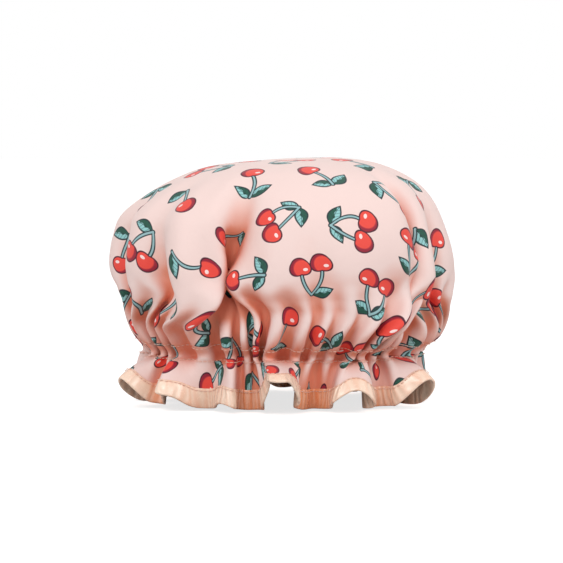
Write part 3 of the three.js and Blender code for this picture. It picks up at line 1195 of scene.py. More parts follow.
@dataclass(frozen=True)
class CherryPrint:
    """Cherries scattered over the cloth, one or two on each cluster, each cluster turned its own way.

    Its sizes are in millimetres. The clusters lie in staggered rows, each nudged a little out of its place,
    and what a cluster hasn't got is moved away to nowhere.
    """

    pitch: float = 47.5
    row_pitch: float = 43.5
    nudge_across: float = 2.4
    nudge_up: float = 2.0
    seed: float = 7.0
    size: float = 1.2
    line: float = 0.42
    stalk_line_share: float = 0.8
    singles: float = 0.45
    one_leaf: float = 0.5
    nowhere: float = 60.0

    # What a random number is multiplied by, to draw another one from its later digits.
    flip_draw: float = 7.0
    leaf_draw: float = 9.0

    # The two cherries of a cluster: how far each lies aside and below the middle, and its stalk's foot.
    first_aside: float = -6.3
    first_below: float = 9.6
    first_foot: float = -5.4
    second_aside: float = 6.6
    second_below: float = 8.2
    second_foot: float = -4.0

    # How far the stalks bend: by chance, the first one's own, and the second one's share and own.
    bend: float = 5.0
    first_bend: float = 2.0
    second_bend_share: float = 0.4
    second_bend: float = 1.5

    cherry: Fruit = Fruit()
    stalk: Stalk = Stalk()
    leaves: tuple[Leaf, Leaf] = (Leaf(196, 13.5, 7.2), Leaf(322, 11.5, 6.2))
    fruit: Colour = Colour(238, 74, 62)
    fruit_shade: Colour = Colour(150, 26, 50)
    fruit_line: Colour = Colour(76, 18, 40)
    shine: Colour = Colour(255, 226, 222)
    leaf: Colour = Colour(146, 203, 203)
    leaf_shade: Colour = Colour(24, 82, 66)
    leaf_line: Colour = Colour(28, 48, 52)
    stem: Colour = Colour(150, 188, 192)

    def cluster(self, graph: Graph, place: Value) -> tuple[Value, Value, Value, Value]:
        """Finds the cluster that a place belongs to, and turns the place into the cluster's own drawing.

        Args:
            graph: the cloth's material.
            place: the place on the flat cut, in metres.

        Returns:
            The place across and up from the cluster's middle, and two random numbers of the cluster.
        """
        x, y, _ = graph.parts(place)
        x, y = x * MILLIMETRES, y * MILLIMETRES
        row = graph.math("FLOOR", y / self.row_pitch)
        shift = graph.math("FLOORED_MODULO", row, 2.0) * (self.pitch / 2)
        column = graph.math("FLOOR", (x + shift) / self.pitch)
        random = graph.node("TexWhiteNoise", "Color", Vector=graph.vector(column, row, self.seed))
        turn, kind, nudge = graph.parts(random)
        chance = Value(graph, random.socket.node.outputs["Value"])
        across = x + shift - (column + 0.5) * self.pitch - (nudge - 0.5) * self.nudge_across
        up = y - (row + 0.5) * self.row_pitch - (chance - 0.5) * self.nudge_up
        angle = turn * FULL_TURN
        cosine, sine = graph.math("COSINE", angle), graph.sine(angle)
        flip = graph.math("SIGN", graph.math("FRACT", nudge * self.flip_draw) - 0.5)
        u = (across * cosine + up * sine) * flip / self.size
        v = (up * cosine - across * sine) / self.size
        return u, v, kind, chance

    def filled(
        self,
        graph: Graph,
        distance: Value,
        under: Value,
        line: Colour,
        inside: Value | Colour,
        share: float = 1.0,
    ) -> Value:
        """Lays a filled shape with its drawn line over a colour.

        Args:
            graph: the cloth's material.
            distance: the distance to the shape's edge.
            under: the colour under the shape.
            line: the drawn line's colour.
            inside: the colour inside the line.
            share: how far the line reaches inwards, as a share of how far it reaches outwards.

        Returns:
            The colour with the shape on it.
        """
        outlined = graph.mix(cover(distance - self.line), under, line)
        return graph.mix(cover(distance + self.line * share), outlined, inside)

    def over(self, graph: Graph, place: Value, cloth: Value) -> Value:
        """Prints the cherries over the cloth's colour.

        Args:
            graph: the cloth's material.
            place: the place on the flat cut, in metres.
            cloth: the cloth's own colour.

        Returns:
            The printed colour.
        """
        u, v, kind, chance = self.cluster(graph, place)
        pair = graph.math("GREATER_THAN", kind, self.singles)
        leaf_chance = graph.math("FRACT", kind * self.leaf_draw)
        two_leaves = graph.math("GREATER_THAN", leaf_chance, self.one_leaf)
        gone = (1.0 - pair) * self.nowhere
        aside = pair * self.first_aside
        bend = (chance - 0.5) * self.bend
        colour = cloth
        for leaf, missing in zip(self.leaves, (0.0, (1.0 - two_leaves) * self.nowhere)):
            distance, dark, vein = leaf.draw(graph, u, v, self.stalk.top)
            inside = graph.mix(vein, graph.mix(dark, self.leaf, self.leaf_shade), self.leaf_line)
            colour = self.filled(graph, distance + missing, colour, self.leaf_line, inside)
        first_foot, second_foot = (aside, self.first_foot), (self.second_aside, self.second_foot)
        second_bend = bend * self.second_bend_share + self.second_bend
        stalks = graph.math(
            "MINIMUM",
            self.stalk.draw(graph, u, v, first_foot, bend - self.first_bend),
            self.stalk.draw(graph, u, v, second_foot, second_bend) + gone,
        )
        colour = self.filled(graph, stalks, colour, self.leaf_line, self.stem, self.stalk_line_share)
        first = self.cherry.draw(graph, u - aside, v + self.first_below)
        second = self.cherry.draw(graph, u - self.second_aside, v + self.second_below)
        for (distance, shade, shine), missing in ((second, gone), (first, 0.0)):
            inside = graph.mix(shine, graph.mix(shade, self.fruit, self.fruit_shade), self.shine)
            colour = self.filled(graph, distance + missing, colour, self.fruit_line, inside)
        return colour


@dataclass(frozen=True)
class PrintedCloth:
    """Fine pale pink polyester with its print, and a painted shade that turns it deeper orange in the
    folds, under the crown's overhang and close to other cloth.
    """

    pale: Colour = Colour(243, 216, 210)
    # The painted shade's colour, which the folds and the cloth close by mix in.
    deep: Colour = Colour(228, 140, 112)
    prints: CherryPrint = CherryPrint()
    fold_shade: float = 0.75
    near_shade: float = 1.05
    near_reach: float = 0.022
    uneven: float = 0.15
    # Taken off the painted shade everywhere.
    shade_offset: float = 0.08
    cloud_scale: float = 60.0
    thread_pitch: float = 0.0006
    thread_height: float = 0.00003
    thread_strength: float = 0.5
    warp_share: float = 0.6
    crumple_scale: float = 170.0
    crumple_height: float = 0.0006
    crumple_strength: float = 0.35
    roughness: float = 0.50
    rougher: float = 0.12
    specks_scale: float = 900.0
    specular: float = 0.35
    sheen: float = 0.12
    sheen_roughness: float = 0.45

    def material(self) -> bpy.types.Material:
        """Makes the finish.

        Returns:
            The material.
        """
        graph = Graph("printed_cloth")
        place = graph.on_cut()
        # Painted shade in folds, under the overhang and where other cloth lies near, with an uneven tone on
        # top.
        shade_and_tone = graph.painted_fold_shade() * self.fold_shade + graph.closeness(self.near_reach) * self.near_shade
        cloud = graph.noise(place, self.cloud_scale) - 0.5
        shade_and_tone = shade_and_tone + cloud * self.uneven - self.shade_offset
        cloth = graph.mix(shade_and_tone.clamped(), self.pale, self.deep)
        x, y, _ = graph.parts(place)
        turn = FULL_TURN / self.thread_pitch
        warp, weft = graph.sine((x + y) * turn), graph.sine((x - y) * (turn / 2))
        weave = warp * self.warp_share + weft * (1 - self.warp_share)
        crumple = graph.noise(place, self.crumple_scale, detail=3.0, roughness=0.55)
        soft = graph.bump(crumple, self.crumple_height, self.crumple_strength)
        return graph.surface(
            Base_Color=self.prints.over(graph, place, cloth),
            Normal=graph.bump(weave, self.thread_height, self.thread_strength, soft),
            Roughness=graph.noise(place, self.specks_scale) * self.rougher + self.roughness,
            Specular_IOR_Level=self.specular,
            Sheen_Weight=self.sheen,
            Sheen_Roughness=self.sheen_roughness,
        )


@dataclass(frozen=True)
class LiningFilm:
    """Soft peach waterproof film, finely wrinkled."""

    tint: Colour = Colour(246, 196, 164)
    deep: Colour = Colour(238, 178, 142)
    uneven: float = 0.5
    cloud_scale: float = 90.0
    wrinkle_scale: float = 260.0
    wrinkle_height: float = 0.0006
    wrinkle_strength: float = 0.4
    roughness: float = 0.32
    rougher: float = 0.15
    specular: float = 0.45

    def material(self) -> bpy.types.Material:
        """Makes the finish.

        Returns:
            The material.
        """
        graph = Graph("lining_film")
        place = graph.on_cut()
        cloud = graph.noise(place, self.cloud_scale, detail=4.0)
        wrinkles = graph.noise(place, self.wrinkle_scale, detail=4.0, roughness=0.6)
        return graph.surface(
            Base_Color=graph.mix(cloud * self.uneven, self.tint, self.deep),
            Normal=graph.bump(wrinkles, self.wrinkle_height, self.wrinkle_strength),
            Roughness=cloud * self.rougher + self.roughness,
            Specular_IOR_Level=self.specular,
        )


@dataclass(frozen=True)
class Satin:
    """Glossy peach satin, puckered along its row of stitches, with painted shade in its folds and close to
    other cloth, and painted sheen and shade streaked along its puckers.

    Its puckers and threads are counted once round the cap.
    """

    tint: Colour = Colour(255, 224, 200)
    # The painted shade's colour.
    deep: Colour = Colour(240, 156, 110)
    fold_shade: float = 0.6
    near_shade: float = 0.8
    near_reach: float = 0.012
    uneven: float = 0.9
    cloud_scale: float = 35.0
    pucker_turns: float = 230.0
    pucker_stray: float = 22.0
    stray_scale: float = 45.0
    pucker_scale: float = 30.0
    # How much painted sheen and shade streak along the puckers.
    pucker_sheen_and_shade: float = 0.3
    pucker_height: float = 0.0006
    pucker_strength: float = 0.7
    thread_turns: float = 2700.0
    thread_height: float = 0.00002
    thread_strength: float = 0.4
    roughness: float = 0.20
    rougher: float = 0.12
    specks_scale: float = 500.0
    specular: float = 0.9
    sheen: float = 0.15

    def material(self) -> bpy.types.Material:
        """Makes the finish.

        Returns:
            The material.
        """
        graph = Graph("satin")
        place = graph.on_cut()
        x, y, _ = graph.parts(place)
        round_cap = graph.math("ARCTAN2", y, x)
        stray = graph.noise(place, self.stray_scale) * self.pucker_stray
        pucker = graph.sine(round_cap * self.pucker_turns + stray) * graph.noise(place, self.pucker_scale)
        cloud = graph.noise(place, self.cloud_scale) - 0.5
        # Uneven tone, with painted sheen and shade streaked along the puckers.
        tone_and_sheen = cloud * self.uneven + pucker * self.pucker_sheen_and_shade
        # Painted shade in the folds and where other cloth lies near.
        near = graph.closeness(self.near_reach) * self.near_shade
        shade_and_tone = (graph.painted_fold_shade() * self.fold_shade + near + tone_and_sheen).clamped()
        threads = graph.sine(round_cap * self.thread_turns)
        soft = graph.bump(pucker, self.pucker_height, self.pucker_strength)
        return graph.surface(
            Base_Color=graph.mix(shade_and_tone, self.tint, self.deep),
            Normal=graph.bump(threads, self.thread_height, self.thread_strength, soft),
            Roughness=graph.noise(place, self.specks_scale) * self.rougher + self.roughness,
            Specular_IOR_Level=self.specular,
            Sheen_Weight=self.sheen,
        )


@dataclass(frozen=True)
class Yarn:
    """Twisted sewing thread, or the cords of braided elastic."""

    name: str
    tint: Colour
    twist_pitch: float = 0.0009
    roughness: float = 0.5
    steepness: float = 1.6
    shade: tuple[float, float, float] = (0.86, 0.82, 0.8)
    shade_share: float = 0.35
    twist_height: float = 0.00008
    twist_strength: float = 0.6
    rougher: float = 0.4

    def material(self) -> bpy.types.Material:
        """Makes the finish.

        Returns:
            The material.
        """
        graph = Graph(self.name)
        x, y, z = graph.parts(graph.node("TexCoord", "Object"))
        twist = graph.sine((x + y + z * self.steepness) * (FULL_TURN / self.twist_pitch))
        share = (twist * 0.5 + 0.5) * self.shade_share
        return graph.surface(
            Base_Color=graph.mix(share, self.tint, self.tint.times(*self.shade)),
            Normal=graph.bump(twist, self.twist_height, self.twist_strength),
            Roughness=share * self.rougher + self.roughness,
        )


@dataclass(frozen=True)
class Lamp:
    """A round lamp: its name, place, width and power in watts."""

    name: str
    place: tuple[float, float, float]
    width: float
    watts: float


@dataclass
class Studio:
    """The pale floor, the lamps and the camera."""

    pixel: float = 0.00069
    frame_pixels: int = 563
    elevation: float = 4.0
    distance: float = 3.0
    ring_pixel: tuple[float, float] = (284, 347)
    sensor: float = 36.0
    nearest: float = 0.1
    farthest: float = 20.0
    lamps: tuple[Lamp, ...] = (
        Lamp("key", (-0.6, -1.8, 1.4), 0.9, 13.2),
        Lamp("fill", (1.5, -1.2, 0.8), 1.2, 10.5),
        Lamp("top", (0.1, 0.3, 1.8), 1.0, 3),
        Lamp("side", (-1.8, -0.7, 0.4), 1.2, 4),
    )
    lamp_aim: tuple[float, float, float] = (0, 0, 0.09)
    world_light: float = 0.61
    white: tuple[float, float, float, float] = (1, 1, 1, 1)
    floor_size: float = 8.0
    floor_tone: tuple[float, float, float, float] = (0.6, 0.6, 0.6, 1)
    floor_lift: float = 0.74

    def camera(self, shape: CapShape) -> None:
        """Places the long lens at the photograph's angle.

        Args:
            shape: the worn cap's form, whose elastic lies at a known pixel.
        """
        tilt = math.radians(self.elevation)
        across = (self.frame_pixels / 2 - self.ring_pixel[0]) * self.pixel
        up = (self.ring_pixel[1] - self.frame_pixels / 2) * self.pixel
        upward = Vector((0, math.sin(tilt), math.cos(tilt)))
        aim = Vector((shape.centre_x + across, shape.centre_y, shape.band_height)) + upward * up
        data = bpy.data.cameras.new("camera")
        data.sensor_width = self.sensor
        data.lens = self.sensor * self.distance / (self.frame_pixels * self.pixel)
        data.clip_start, data.clip_end = self.nearest, self.farthest
        camera = bpy.data.objects.new("camera", data)
        camera.location = aim + Vector((0, -math.cos(tilt), math.sin(tilt))) * self.distance
        camera.rotation_euler = (math.pi / 2 - tilt, 0, 0)
        bpy.context.scene.collection.objects.link(camera)
        bpy.context.scene.camera = camera

    def hang_lamps(self) -> None:
        """Hangs a soft key lamp, a fill, a top lamp and a low one at the left."""
        for lamp in self.lamps:
            data = bpy.data.lights.new(lamp.name, "AREA")
            data.shape, data.size, data.energy = "DISK", lamp.width, lamp.watts
            hung = bpy.data.objects.new(lamp.name, data)
            hung.location = lamp.place
            aim = Vector(self.lamp_aim) - Vector(lamp.place)
            hung.rotation_euler = aim.to_track_quat("-Z", "Y").to_euler()
            bpy.context.scene.collection.objects.link(hung)

    def world(self) -> None:
        """Lights the scene from all round, and shows plain white to what looks or reflects that way."""
        world = bpy.data.worlds.new("world")
        world.use_nodes = True
        tree = world.node_tree
        path = tree.nodes.new("ShaderNodeLightPath")
        mix = tree.nodes.new("ShaderNodeMixShader")
        lit, seen = tree.nodes["Background"], tree.nodes.new("ShaderNodeBackground")
        for inlet, light, strength in ((1, lit, self.world_light), (2, seen, 1.0)):
            light.inputs["Color"].default_value = self.white
            light.inputs["Strength"].default_value = strength
            tree.links.new(light.outputs["Background"], mix.inputs[inlet])
        shown = path.outputs["Is Camera Ray"]
        for kind in ("Is Glossy Ray", "Is Transmission Ray"):
            either = tree.nodes.new("ShaderNodeMath")
            either.operation = "MAXIMUM"
            tree.links.new(shown, either.inputs[0])
            tree.links.new(path.outputs[kind], either.inputs[1])
            shown = either.outputs["Value"]
        tree.links.new(shown, mix.inputs["Fac"])
        tree.links.new(mix.outputs["Shader"], tree.nodes["World Output"].inputs["Surface"])
        bpy.context.scene.world = world

    def floor(self) -> None:
        """Lays a white floor that keeps the cap's shadow and looks brighter than it lights."""
        bpy.ops.object.select_all(action="DESELECT")
        bpy.ops.mesh.primitive_plane_add(size=self.floor_size)
        floor = bpy.context.object
        floor.name = "floor"
        graph = Graph("white_floor")
        floor.data.materials.append(
            graph.surface(
                Base_Color=self.floor_tone,
                Roughness=1.0,
                Specular_IOR_Level=0.0,
                Emission_Color=self.white,
                Emission_Strength=graph.node("LightPath", "Is Camera Ray") * self.floor_lift,
            )
        )


def finish_piece(
    piece: bpy.types.Object, nodes: tuple[str, ...], material: bpy.types.Material
) -> bpy.types.Object:
    """Gives a piece its finish, hangs it from the root body, and hides the CAD nodes that it stands for.

    Args:
        piece: the piece.
        nodes: the CAD nodes.
        material: its finish.

    Returns:
        The piece.
    """
    piece.data.materials.append(material)
    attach(piece, "root")
    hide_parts(*nodes)
    LOG.info("%s: %d faces", piece.name, len(piece.data.polygons))
    return piece


def rounded(piece: bpy.types.Object) -> None:
    """Rounds a piece's net once."""
    modifier = piece.modifiers.new("rounded", "SUBSURF")
    modifier.levels = modifier.render_levels = 1


def write_cut_map(piece: bpy.types.Object, flat: np.ndarray) -> None:
    """Writes each point's place on the flat cut as a UV map.

    Args:
        piece: the piece.
        flat: each point's (x, y) from the cut's middle.
    """
    layer = piece.data.uv_layers.new(name=CUT_MAP)
    loops = np.empty(len(piece.data.loops), dtype=np.int64)
    piece.data.loops.foreach_get("vertex_index", loops)
    layer.data.foreach_set("uv", (flat[loops] / CUT_SPAN + 0.5).ravel())


def write_painted_fold_shade(piece: bpy.types.Object, depth: np.ndarray) -> None:
    """Writes how much painted shade each point gets, from 0 to 1."""
    attribute = piece.data.attributes.new(PAINTED_FOLD_SHADE, "FLOAT", "POINT")
    attribute.data.foreach_set("value", depth)


@dataclass
class GatheredCloth:
    """The two rounds of cloth as one settled net, which the other pieces are laid on."""

    cut: RoundCut

    # The film's gap to the cloth, and how much more room it gives the elastic in the casing.
    film_gap: float = 0.0008
    elastic_room: float = 0.0012
    room_share: float = 0.8
    room_power: int = 6

    # How a point's painted shade is worked out from its depth in a fold and from a downward slope: the
    # height of the cap's middle, how far a full fold is moved at these rows and at the hem, and from where
    # to where that and a downward slope count.
    middle_height: float = 0.09
    fold_rows: tuple[float, float, float] = (0.170, 0.200, 0.230)
    fold_scales: tuple[float, float, float, float] = (0.016, 0.007, 0.007, 0.012)
    fold_ends: tuple[float, float] = (0.15, 1.0)
    under_ends: tuple[float, float] = (0.0, 0.7)

    points: np.ndarray = field(init=False)
    normals: np.ndarray = field(init=False)
    # Each point's painted shade, from 0 to 1.
    depth: np.ndarray = field(init=False)

    def build(self) -> tuple[bpy.types.Object, bpy.types.Object]:
        """Makes the printed cloth and the film inside it.

        Returns:
            The two pieces.
        """
        shape, faces = self.cut.shape, self.cut.faces()
        points, moves = self.cut.points()
        shell = mesh_object("printed_cloth", points, faces)
        start = time.time()
        Settling(self.cut).run(shell)
        LOG.info("settled in %.0f s", time.time() - start)
        self.read(shell, moves)
        away = (self.cut.row_of_each() - shape.crown_cloth) / (shape.casing_half * self.room_share)
        gap = self.film_gap + self.elastic_room * np.exp(-(away**self.room_power))
        film = mesh_object("waterproof_film", self.points - self.normals * gap[:, None], faces)
        for piece in (shell, film):
            write_cut_map(piece, self.cut.flat_points())
            write_painted_fold_shade(piece, self.depth)
            rounded(piece)
        film.data.flip_normals()
        return shell, film

    def read(self, shell: bpy.types.Object, moves: np.ndarray) -> None:
        """Notes the settled net's points and directions, and the painted shade of its folds and of the
        crown's downward slopes.

        Args:
            shell: the settled cloth.
            moves: how far the folds move each point out of the smooth form.
        """
        shape, rows = self.cut.shape, self.cut.row_of_each()
        count = len(shell.data.vertices)
        self.points, self.normals = np.empty((count, 3)), np.empty((count, 3))
        shell.data.vertices.foreach_get("co", self.points.ravel())
        shell.data.vertex_normals.foreach_get("vector", self.normals.ravel())
        middle = np.array([shape.centre_x, shape.centre_y, self.middle_height])
        inward = -np.sign(((self.points - middle) * moves).sum(axis=1))
        amount = np.linalg.norm(moves, axis=1) * inward
        scale = np.interp(rows, (*self.fold_rows, shape.hem), self.fold_scales)
        # Painted shade under the crown's overhang, where the cloth faces down.
        under = smooth_step(-self.normals[:, 2], *self.under_ends) * (rows < shape.crown_cloth)
        self.depth = np.minimum(smooth_step(amount / scale, *self.fold_ends) + under, 1.0)

    def line_at(self, row: float) -> tuple[np.ndarray, np.ndarray, np.ndarray]:
        """Reads the settled net along one row, between its rings.

        Args:
            row: the distance along the cloth from its middle.

        Returns:
            Points, outward directions and painted fold shade, one for each column.
        """
        rows = np.array([r for r, _ in self.cut.layout()])
        after = min(int(np.searchsorted(rows, row)), len(rows) - 1)
        share = (row - rows[after - 1]) / (rows[after] - rows[after - 1])
        columns = self.cut.columns
        first, second = self.cut.ring_start(after - 1), self.cut.ring_start(after)
        picked = []
        for values in (self.points, self.normals, self.depth):
            above, below = values[first : first + columns], values[second : second + columns]
            picked.append(above * (1 - share) + below * share)
        return picked[0], unit(picked[1]), picked[2]

    def column_at(self, row: float, degrees: float) -> int:
        """Finds the column whose point on a row lies nearest a place round the cap.

        Args:
            row: the distance along the cloth from its middle.
            degrees: the place round the cap.

        Returns:
            The column's number.
        """
        line, _, _ = self.line_at(row)
        shape = self.cut.shape
        angles = np.arctan2(line[:, 1] - shape.centre_y, line[:, 0] - shape.centre_x)
        return int(np.argmin(np.abs(degrees_past(angles, degrees))))


@dataclass
class HemBinding:
    """The satin strip folded round the hem, and where its row of stitches lies."""

    cloth: GatheredCloth
    depth: float = 0.0085
    proud: float = 0.0006
    fold: float = 0.0009
    fold_bulge: float = 1.35
    lip: float = 0.0002
    lip_proud: float = 0.00005
    hang_length: float = 0.003
    stitch_share: float = 0.88

    # The strip's outer side down to the hem, and its inner side up again: a share of its depth above the
    # hem, a share of how proud it stands of the cloth, and a share of its fold below the hem.
    outer_side: tuple[tuple[float, float, float], ...] = (
        (1.00, 1.0, 0.0), (0.62, 1.1, 0.0), (0.30, 1.1, 0.0), (0.00, 1.0, 0.0), (0.00, 0.7, 1.0),
    )
    inner_side: tuple[tuple[float, float, float], ...] = (
        (0.00, 0.7, 1.0), (0.00, 1.0, 0.0), (0.40, 1.1, 0.0), (1.00, 1.0, 0.0),
    )

    @property
    def stitch_row(self) -> float:
        """The distance of its stitches along the cloth."""
        return self.cloth.cut.shape.hem - self.depth * self.stitch_share

    def section(self) -> list[tuple[float, float, float]]:
        """Draws the strip's section, from its outer edge round the hem to its inner edge.

        Returns:
            For each line of it, the row that it lies on, how far out it stands and how far down it hangs.
        """
        hem, film = self.cloth.cut.shape.hem, self.cloth.film_gap
        edge = hem - self.depth - self.lip
        steps = [(edge, self.lip_proud, 0.0)]
        for up, out, down in self.outer_side:
            steps.append((hem - self.depth * up, self.proud * out, self.fold * down))
        steps.append((hem, -(film + self.proud) * 0.5, self.fold * self.fold_bulge))
        for up, out, down in self.inner_side:
            steps.append((hem - self.depth * up, -(film + self.proud * out), self.fold * down))
        steps.append((edge, -(film + self.lip_proud), 0.0))
        return steps

    def build(self) -> bpy.types.Object:
        """Makes the strip.

        Returns:
            The piece.
        """
        cut, steps = self.cloth.cut, self.section()
        hem = cut.shape.hem
        above, _, _ = self.cloth.line_at(hem - self.hang_length)
        edge, _, _ = self.cloth.line_at(hem)
        hanging = unit(edge - above)
        points, flat, painted_shades = [], [], []
        angles = np.arange(cut.columns) / cut.columns * FULL_TURN
        for i, (row, out, down) in enumerate(steps):
            line, normal, depth = self.cloth.line_at(row)
            points.append(line + normal * out + hanging * down)
            painted_shades.append(depth)
            run = row if i <= len(self.outer_side) else 2 * hem - row + 2 * self.fold
            reach = min(run, CUT_SPAN / 2 * CUT_EDGE)
            flat.append(np.stack([reach * np.cos(angles), reach * np.sin(angles)], axis=1))
        strip = mesh_object("satin_binding", np.concatenate(points), band_faces(len(steps), cut.columns))
        write_cut_map(strip, np.concatenate(flat))
        write_painted_fold_shade(strip, np.concatenate(painted_shades))
        rounded(strip)
        return strip


@dataclass
class Elastic:
    """The flat braided elastic inside its casing, and the zigzag that tacks its lapped ends."""

    cloth: GatheredCloth
    height: float = 0.006
    thickness: float = 0.0004
    inward: float = 0.0007
    tack_degrees: float = 88.0
    tack_columns: int = 6
    tack_height: float = 0.004
    tack_proud: float = 0.0001

    # The band's section: shares of its half height and of its half thickness.
    section: tuple[tuple[float, float], ...] = (
        (-1.0, 0.4), (-0.9, 1.0), (-0.3, 1.0), (0.3, 1.0), (0.9, 1.0), (1.0, 0.4),
        (1.0, -0.4), (0.9, -1.0), (0.3, -1.0), (-0.3, -1.0), (-0.9, -1.0), (-1.0, -0.4),
    )

    def band(self) -> bpy.types.Object:
        """Makes the elastic as a closed flat band.

        Returns:
            The piece.
        """
        middle = self.cloth.cut.shape.crown_cloth
        half, edge = self.height / 2, self.thickness / 2
        points = []
        for along, out in self.section:
            line, normal, _ = self.cloth.line_at(middle + half * along)
            points.append(line + normal * (edge * out - self.inward))
        faces = band_faces(len(self.section), self.cloth.cut.columns, closed=True)
        band = mesh_object("braided_elastic", np.concatenate(points), faces)
        rounded(band)
        return band

    def tack(self) -> bpy.types.Object:
        """Makes the zigzag of thread on the elastic's outer face.

        Returns:
            The piece.
        """
        middle = self.cloth.cut.shape.crown_cloth
        first = self.cloth.column_at(middle, self.tack_degrees)
        marks = []
        for i in range(self.tack_columns):
            line, normal, _ = self.cloth.line_at(middle + self.tack_height * (0.5 if i % 2 else -0.5))
            column = (first + i) % len(line)
            mark = line[column] - normal[column] * (self.inward - self.thickness / 2)
            marks.append((mark, normal[column]))
        seam = Seam(self.cloth, "", middle, self.tack_proud, 0.0)
        points: list[np.ndarray] = []
        faces: list[tuple[int, ...]] = []
        shares = np.array(seam.places)[:, None]
        for (start, up), (end, _) in zip(marks, marks[1:]):
            ups = np.repeat(up[None], len(shares), axis=0)
            seam.bar(points, faces, start + (end - start) * shares, ups, seam.out)
        return mesh_object("elastic_tack", np.concatenate(points), faces)


@dataclass
class CareLabel:
    """The blank label, folded double and sewn into the casing's lower seam inside the back."""

    cloth: GatheredCloth
    drop: float = 0.020
    width: float = 0.016
    columns: int = 6
    rows: int = 9
    degrees: float = 91.0
    thickness: float = 0.0005
    clearance: float = 0.0006
    near_share: float = 0.6
    level_half: float = 0.003

    def middle(self) -> np.ndarray:
        """The middle of the elastic's oval."""
        shape = self.cloth.cut.shape
        return np.array([shape.centre_x, shape.centre_y, shape.band_height])

    def directions(self) -> tuple[np.ndarray, np.ndarray]:
        """The level directions outwards and across at the label."""
        turn = math.radians(self.degrees)
        outward = np.array([math.cos(turn), math.sin(turn), 0.0])
        return outward, np.array([-math.sin(turn), math.cos(turn), 0.0])

    def reaches(self, top: float) -> np.ndarray:
        """Finds how far out the label can hang at each of its rows, clear of the film's innermost folds.

        Args:
            top: the height of its upper edge.

        Returns:
            Each row's distance from the middle of the elastic's oval.
        """
        outward, across = self.directions()
        inner = self.cloth.points - self.cloth.normals * self.cloth.film_gap
        near = inner[np.abs((inner - self.middle()) @ across) < self.width * self.near_share]
        near = near[(near - self.middle()) @ outward > 0]
        reach: list[float] = []
        for i in range(self.rows):
            below = near[:, 2] - top + self.drop * i / (self.rows - 1)
            level = near[np.abs(below) < self.level_half]
            innermost = ((level - self.middle()) @ outward).min(initial=reach[-1] if reach else math.inf)
            reach.append(innermost - self.clearance * (i == 0))
        return np.minimum(np.array(reach), reach[0])

    def build(self) -> bpy.types.Object:
        """Makes the label as a thin closed slab that hangs just clear of the film.

        Returns:
            The piece.
        """
        shape = self.cloth.cut.shape
        seam = shape.crown_cloth + shape.casing_half
        outward, across = self.directions()
        top = self.cloth.line_at(seam)[0][self.cloth.column_at(seam, self.degrees), 2]
        reach = self.reaches(top)
        sheets = []
        for extra in (self.thickness, 0.0):
            sheet = []
            for i in range(self.rows):
                share = i / (self.rows - 1)
                centre = self.middle() + outward * (reach[i] - extra)
                centre[2] = top - self.drop * share
                for c in range(self.columns):
                    sheet.append(centre + across * self.width * (0.5 - c / (self.columns - 1)))
            sheets.append(np.array(sheet))
        label = mesh_object("care_label_blank", np.concatenate(sheets), self.faces())
        rounded(label)
        return label

    def faces(self) -> list[tuple[int, ...]]:
        """Lists the slab's faces, which are its two sheets' and those of the rim between them.

        Returns:
            The faces, each by its points' numbers.
        """
        count = self.rows * self.columns
        faces: list[tuple[int, ...]] = []
        for r in range(self.rows - 1):
            for c in range(self.columns - 1):
                a = r * self.columns + c
                b, below, below_b = a + 1, a + self.columns, a + 1 + self.columns
                faces.append((a, b, below_b, below))
                faces.append((count + a, count + below, count + below_b, count + b))
        rim = list(range(self.columns))
        rim += [r * self.columns + self.columns - 1 for r in range(1, self.rows)]
        rim += [(self.rows - 1) * self.columns + c for c in reversed(range(self.columns - 1))]
        rim += [r * self.columns for r in reversed(range(1, self.rows - 1))]
        for a, b in zip(rim, rim[1:] + rim[:1]):
            faces.append((b, a, count + a, count + b))
        return faces


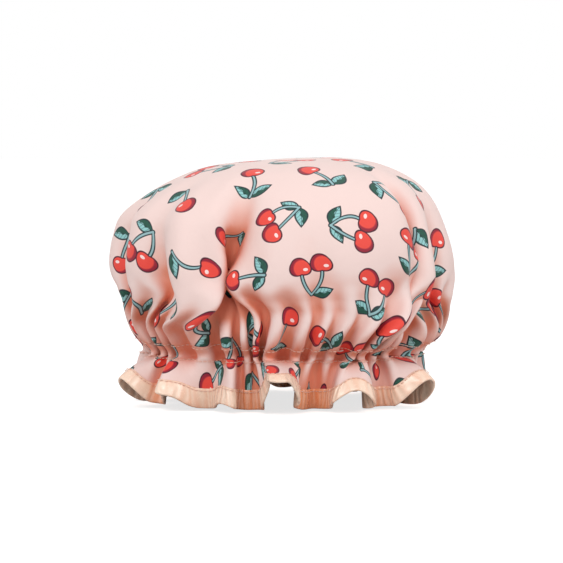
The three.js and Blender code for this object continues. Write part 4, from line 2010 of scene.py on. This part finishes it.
@dataclass
class Seam:
    """A row of stitches round the cap, on both faces of the cloth.

    A stitch is a rounded bar, drawn at a few places along it. Its size and its lift over the cloth there
    are shares of its half width.
    """

    cloth: GatheredCloth
    name: str
    row: float
    out: float
    inward: float
    stitch: float = 0.0026
    gap: float = 0.0006
    half_width: float = 0.00024
    sides: int = 6
    places: tuple[float, ...] = (0.0, 0.14, 0.5, 0.86, 1.0)
    sizes: tuple[float, ...] = (0.35, 1.0, 1.15, 1.0, 0.35)
    lifts: tuple[float, ...] = (-0.6, 0.7, 1.0, 0.7, -0.6)

    def build(self) -> bpy.types.Object:
        """Makes the row of stitches.

        Returns:
            The piece.
        """
        line, normal, _ = self.cloth.line_at(self.row)
        closed, arc = closed_line(line)
        directions = np.concatenate([normal, normal[:1]])
        count = int(arc[-1] / (self.stitch + self.gap))
        pitch = arc[-1] / count
        points: list[np.ndarray] = []
        faces: list[tuple[int, ...]] = []
        for side in (self.out, self.inward):
            for i in range(count):
                marks = (i + np.array(self.places) * self.stitch / pitch) * pitch
                up = unit(read_along(marks, arc, directions))
                self.bar(points, faces, read_along(marks, arc, closed), up, side)
        return mesh_object(self.name, np.concatenate(points), faces)

    def bar(
        self,
        points: list[np.ndarray],
        faces: list[tuple[int, ...]],
        middle: np.ndarray,
        up: np.ndarray,
        side: float,
    ) -> None:
        """Adds one stitch, which dips into the cloth at both ends.

        Args:
            points: the seam's points so far, which the stitch's are added to.
            faces: its faces so far.
            middle: the stitch's places on the cloth.
            up: the outward directions there.
            side: how far out of the cloth it lies, less than 0 on the inner face.
        """
        start = sum(len(p) for p in points)
        across = np.cross(unit(np.gradient(middle, axis=0)), up)
        sizes = np.array(self.sizes) * self.half_width
        lifts = np.array(self.lifts) * self.half_width * (1 if side > 0 else -1) + side
        turns = np.arange(self.sides) / self.sides * FULL_TURN
        for m, u, a, size, lift in zip(middle, up, across, sizes, lifts):
            round_bar = np.outer(np.cos(turns), a) * size
            points.append(m + u * lift + round_bar + np.outer(np.sin(turns), u) * size)
        last = len(self.places) - 1
        for k in range(last):
            a, b = start + k * self.sides, start + (k + 1) * self.sides
            for s in range(self.sides):
                after = (s + 1) % self.sides
                faces.append((a + s, a + after, b + after, b + s))
        faces.append(tuple(start + s for s in reversed(range(self.sides))))
        faces.append(tuple(start + last * self.sides + s for s in range(self.sides)))


def main() -> None:
    """Builds the cap and its surroundings."""
    logging.basicConfig(level=logging.INFO, format="%(name)s: %(message)s")
    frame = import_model()
    band_low, band_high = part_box("elastic_band")
    shape = CapShape(
        centre_x=(band_low[0] + band_high[0]) / 2,
        centre_y=(band_low[1] + band_high[1]) / 2,
        band_height=(band_low[2] + band_high[2]) / 2,
    )
    LOG.info("band at %.4f %.4f %.4f", shape.centre_x, shape.centre_y, shape.band_height)

    cloth = GatheredCloth(RoundCut(shape))
    shell, film = cloth.build()
    finish_piece(shell, ("outer_shell",), PrintedCloth().material())
    finish_piece(film, ("waterproof_lining",), LiningFilm().material())
    binding = HemBinding(cloth)
    strip = binding.build()
    finish_piece(strip, ("hem_binding",), Satin().material())
    elastic = Elastic(cloth)
    band = elastic.band()
    braid = Yarn("braid", Colour(246, 243, 236), twist_pitch=0.0016, roughness=0.7)
    finish_piece(band, ("elastic_band",), braid.material())
    label = CareLabel(cloth).build()
    label_cloth = Yarn("label_cloth", Colour(250, 247, 242), twist_pitch=0.0007, roughness=0.55)
    finish_piece(label, ("care_label",), label_cloth.material())
    thread = Yarn("sewing_thread", Colour(250, 212, 194)).material()
    finish_piece(elastic.tack(), ("elastic_tack_thread",), thread)

    # The stitches lie a little out of what they hold, on the cloth and on the film.
    over_cloth, over_film = 0.0002, 0.0001
    film_side = -(cloth.film_gap + over_film)
    for name, row, out, inward in (
        ("casing_thread_upper", shape.crown_cloth - shape.casing_half, over_cloth, film_side),
        ("casing_thread_lower", shape.crown_cloth + shape.casing_half, over_cloth, film_side),
        ("binding_thread", binding.stitch_row, binding.proud + over_cloth, film_side - binding.proud),
    ):
        seam = Seam(cloth, name.replace("thread", "stitches"), row, out, inward).build()
        finish_piece(seam, (name,), thread)

    bpy.context.scene.view_settings.view_transform = "Standard"
    studio = Studio()
    studio.camera(shape)
    studio.hang_lamps()
    studio.world()
    studio.floor()


if __name__ == "__main__":
    main()
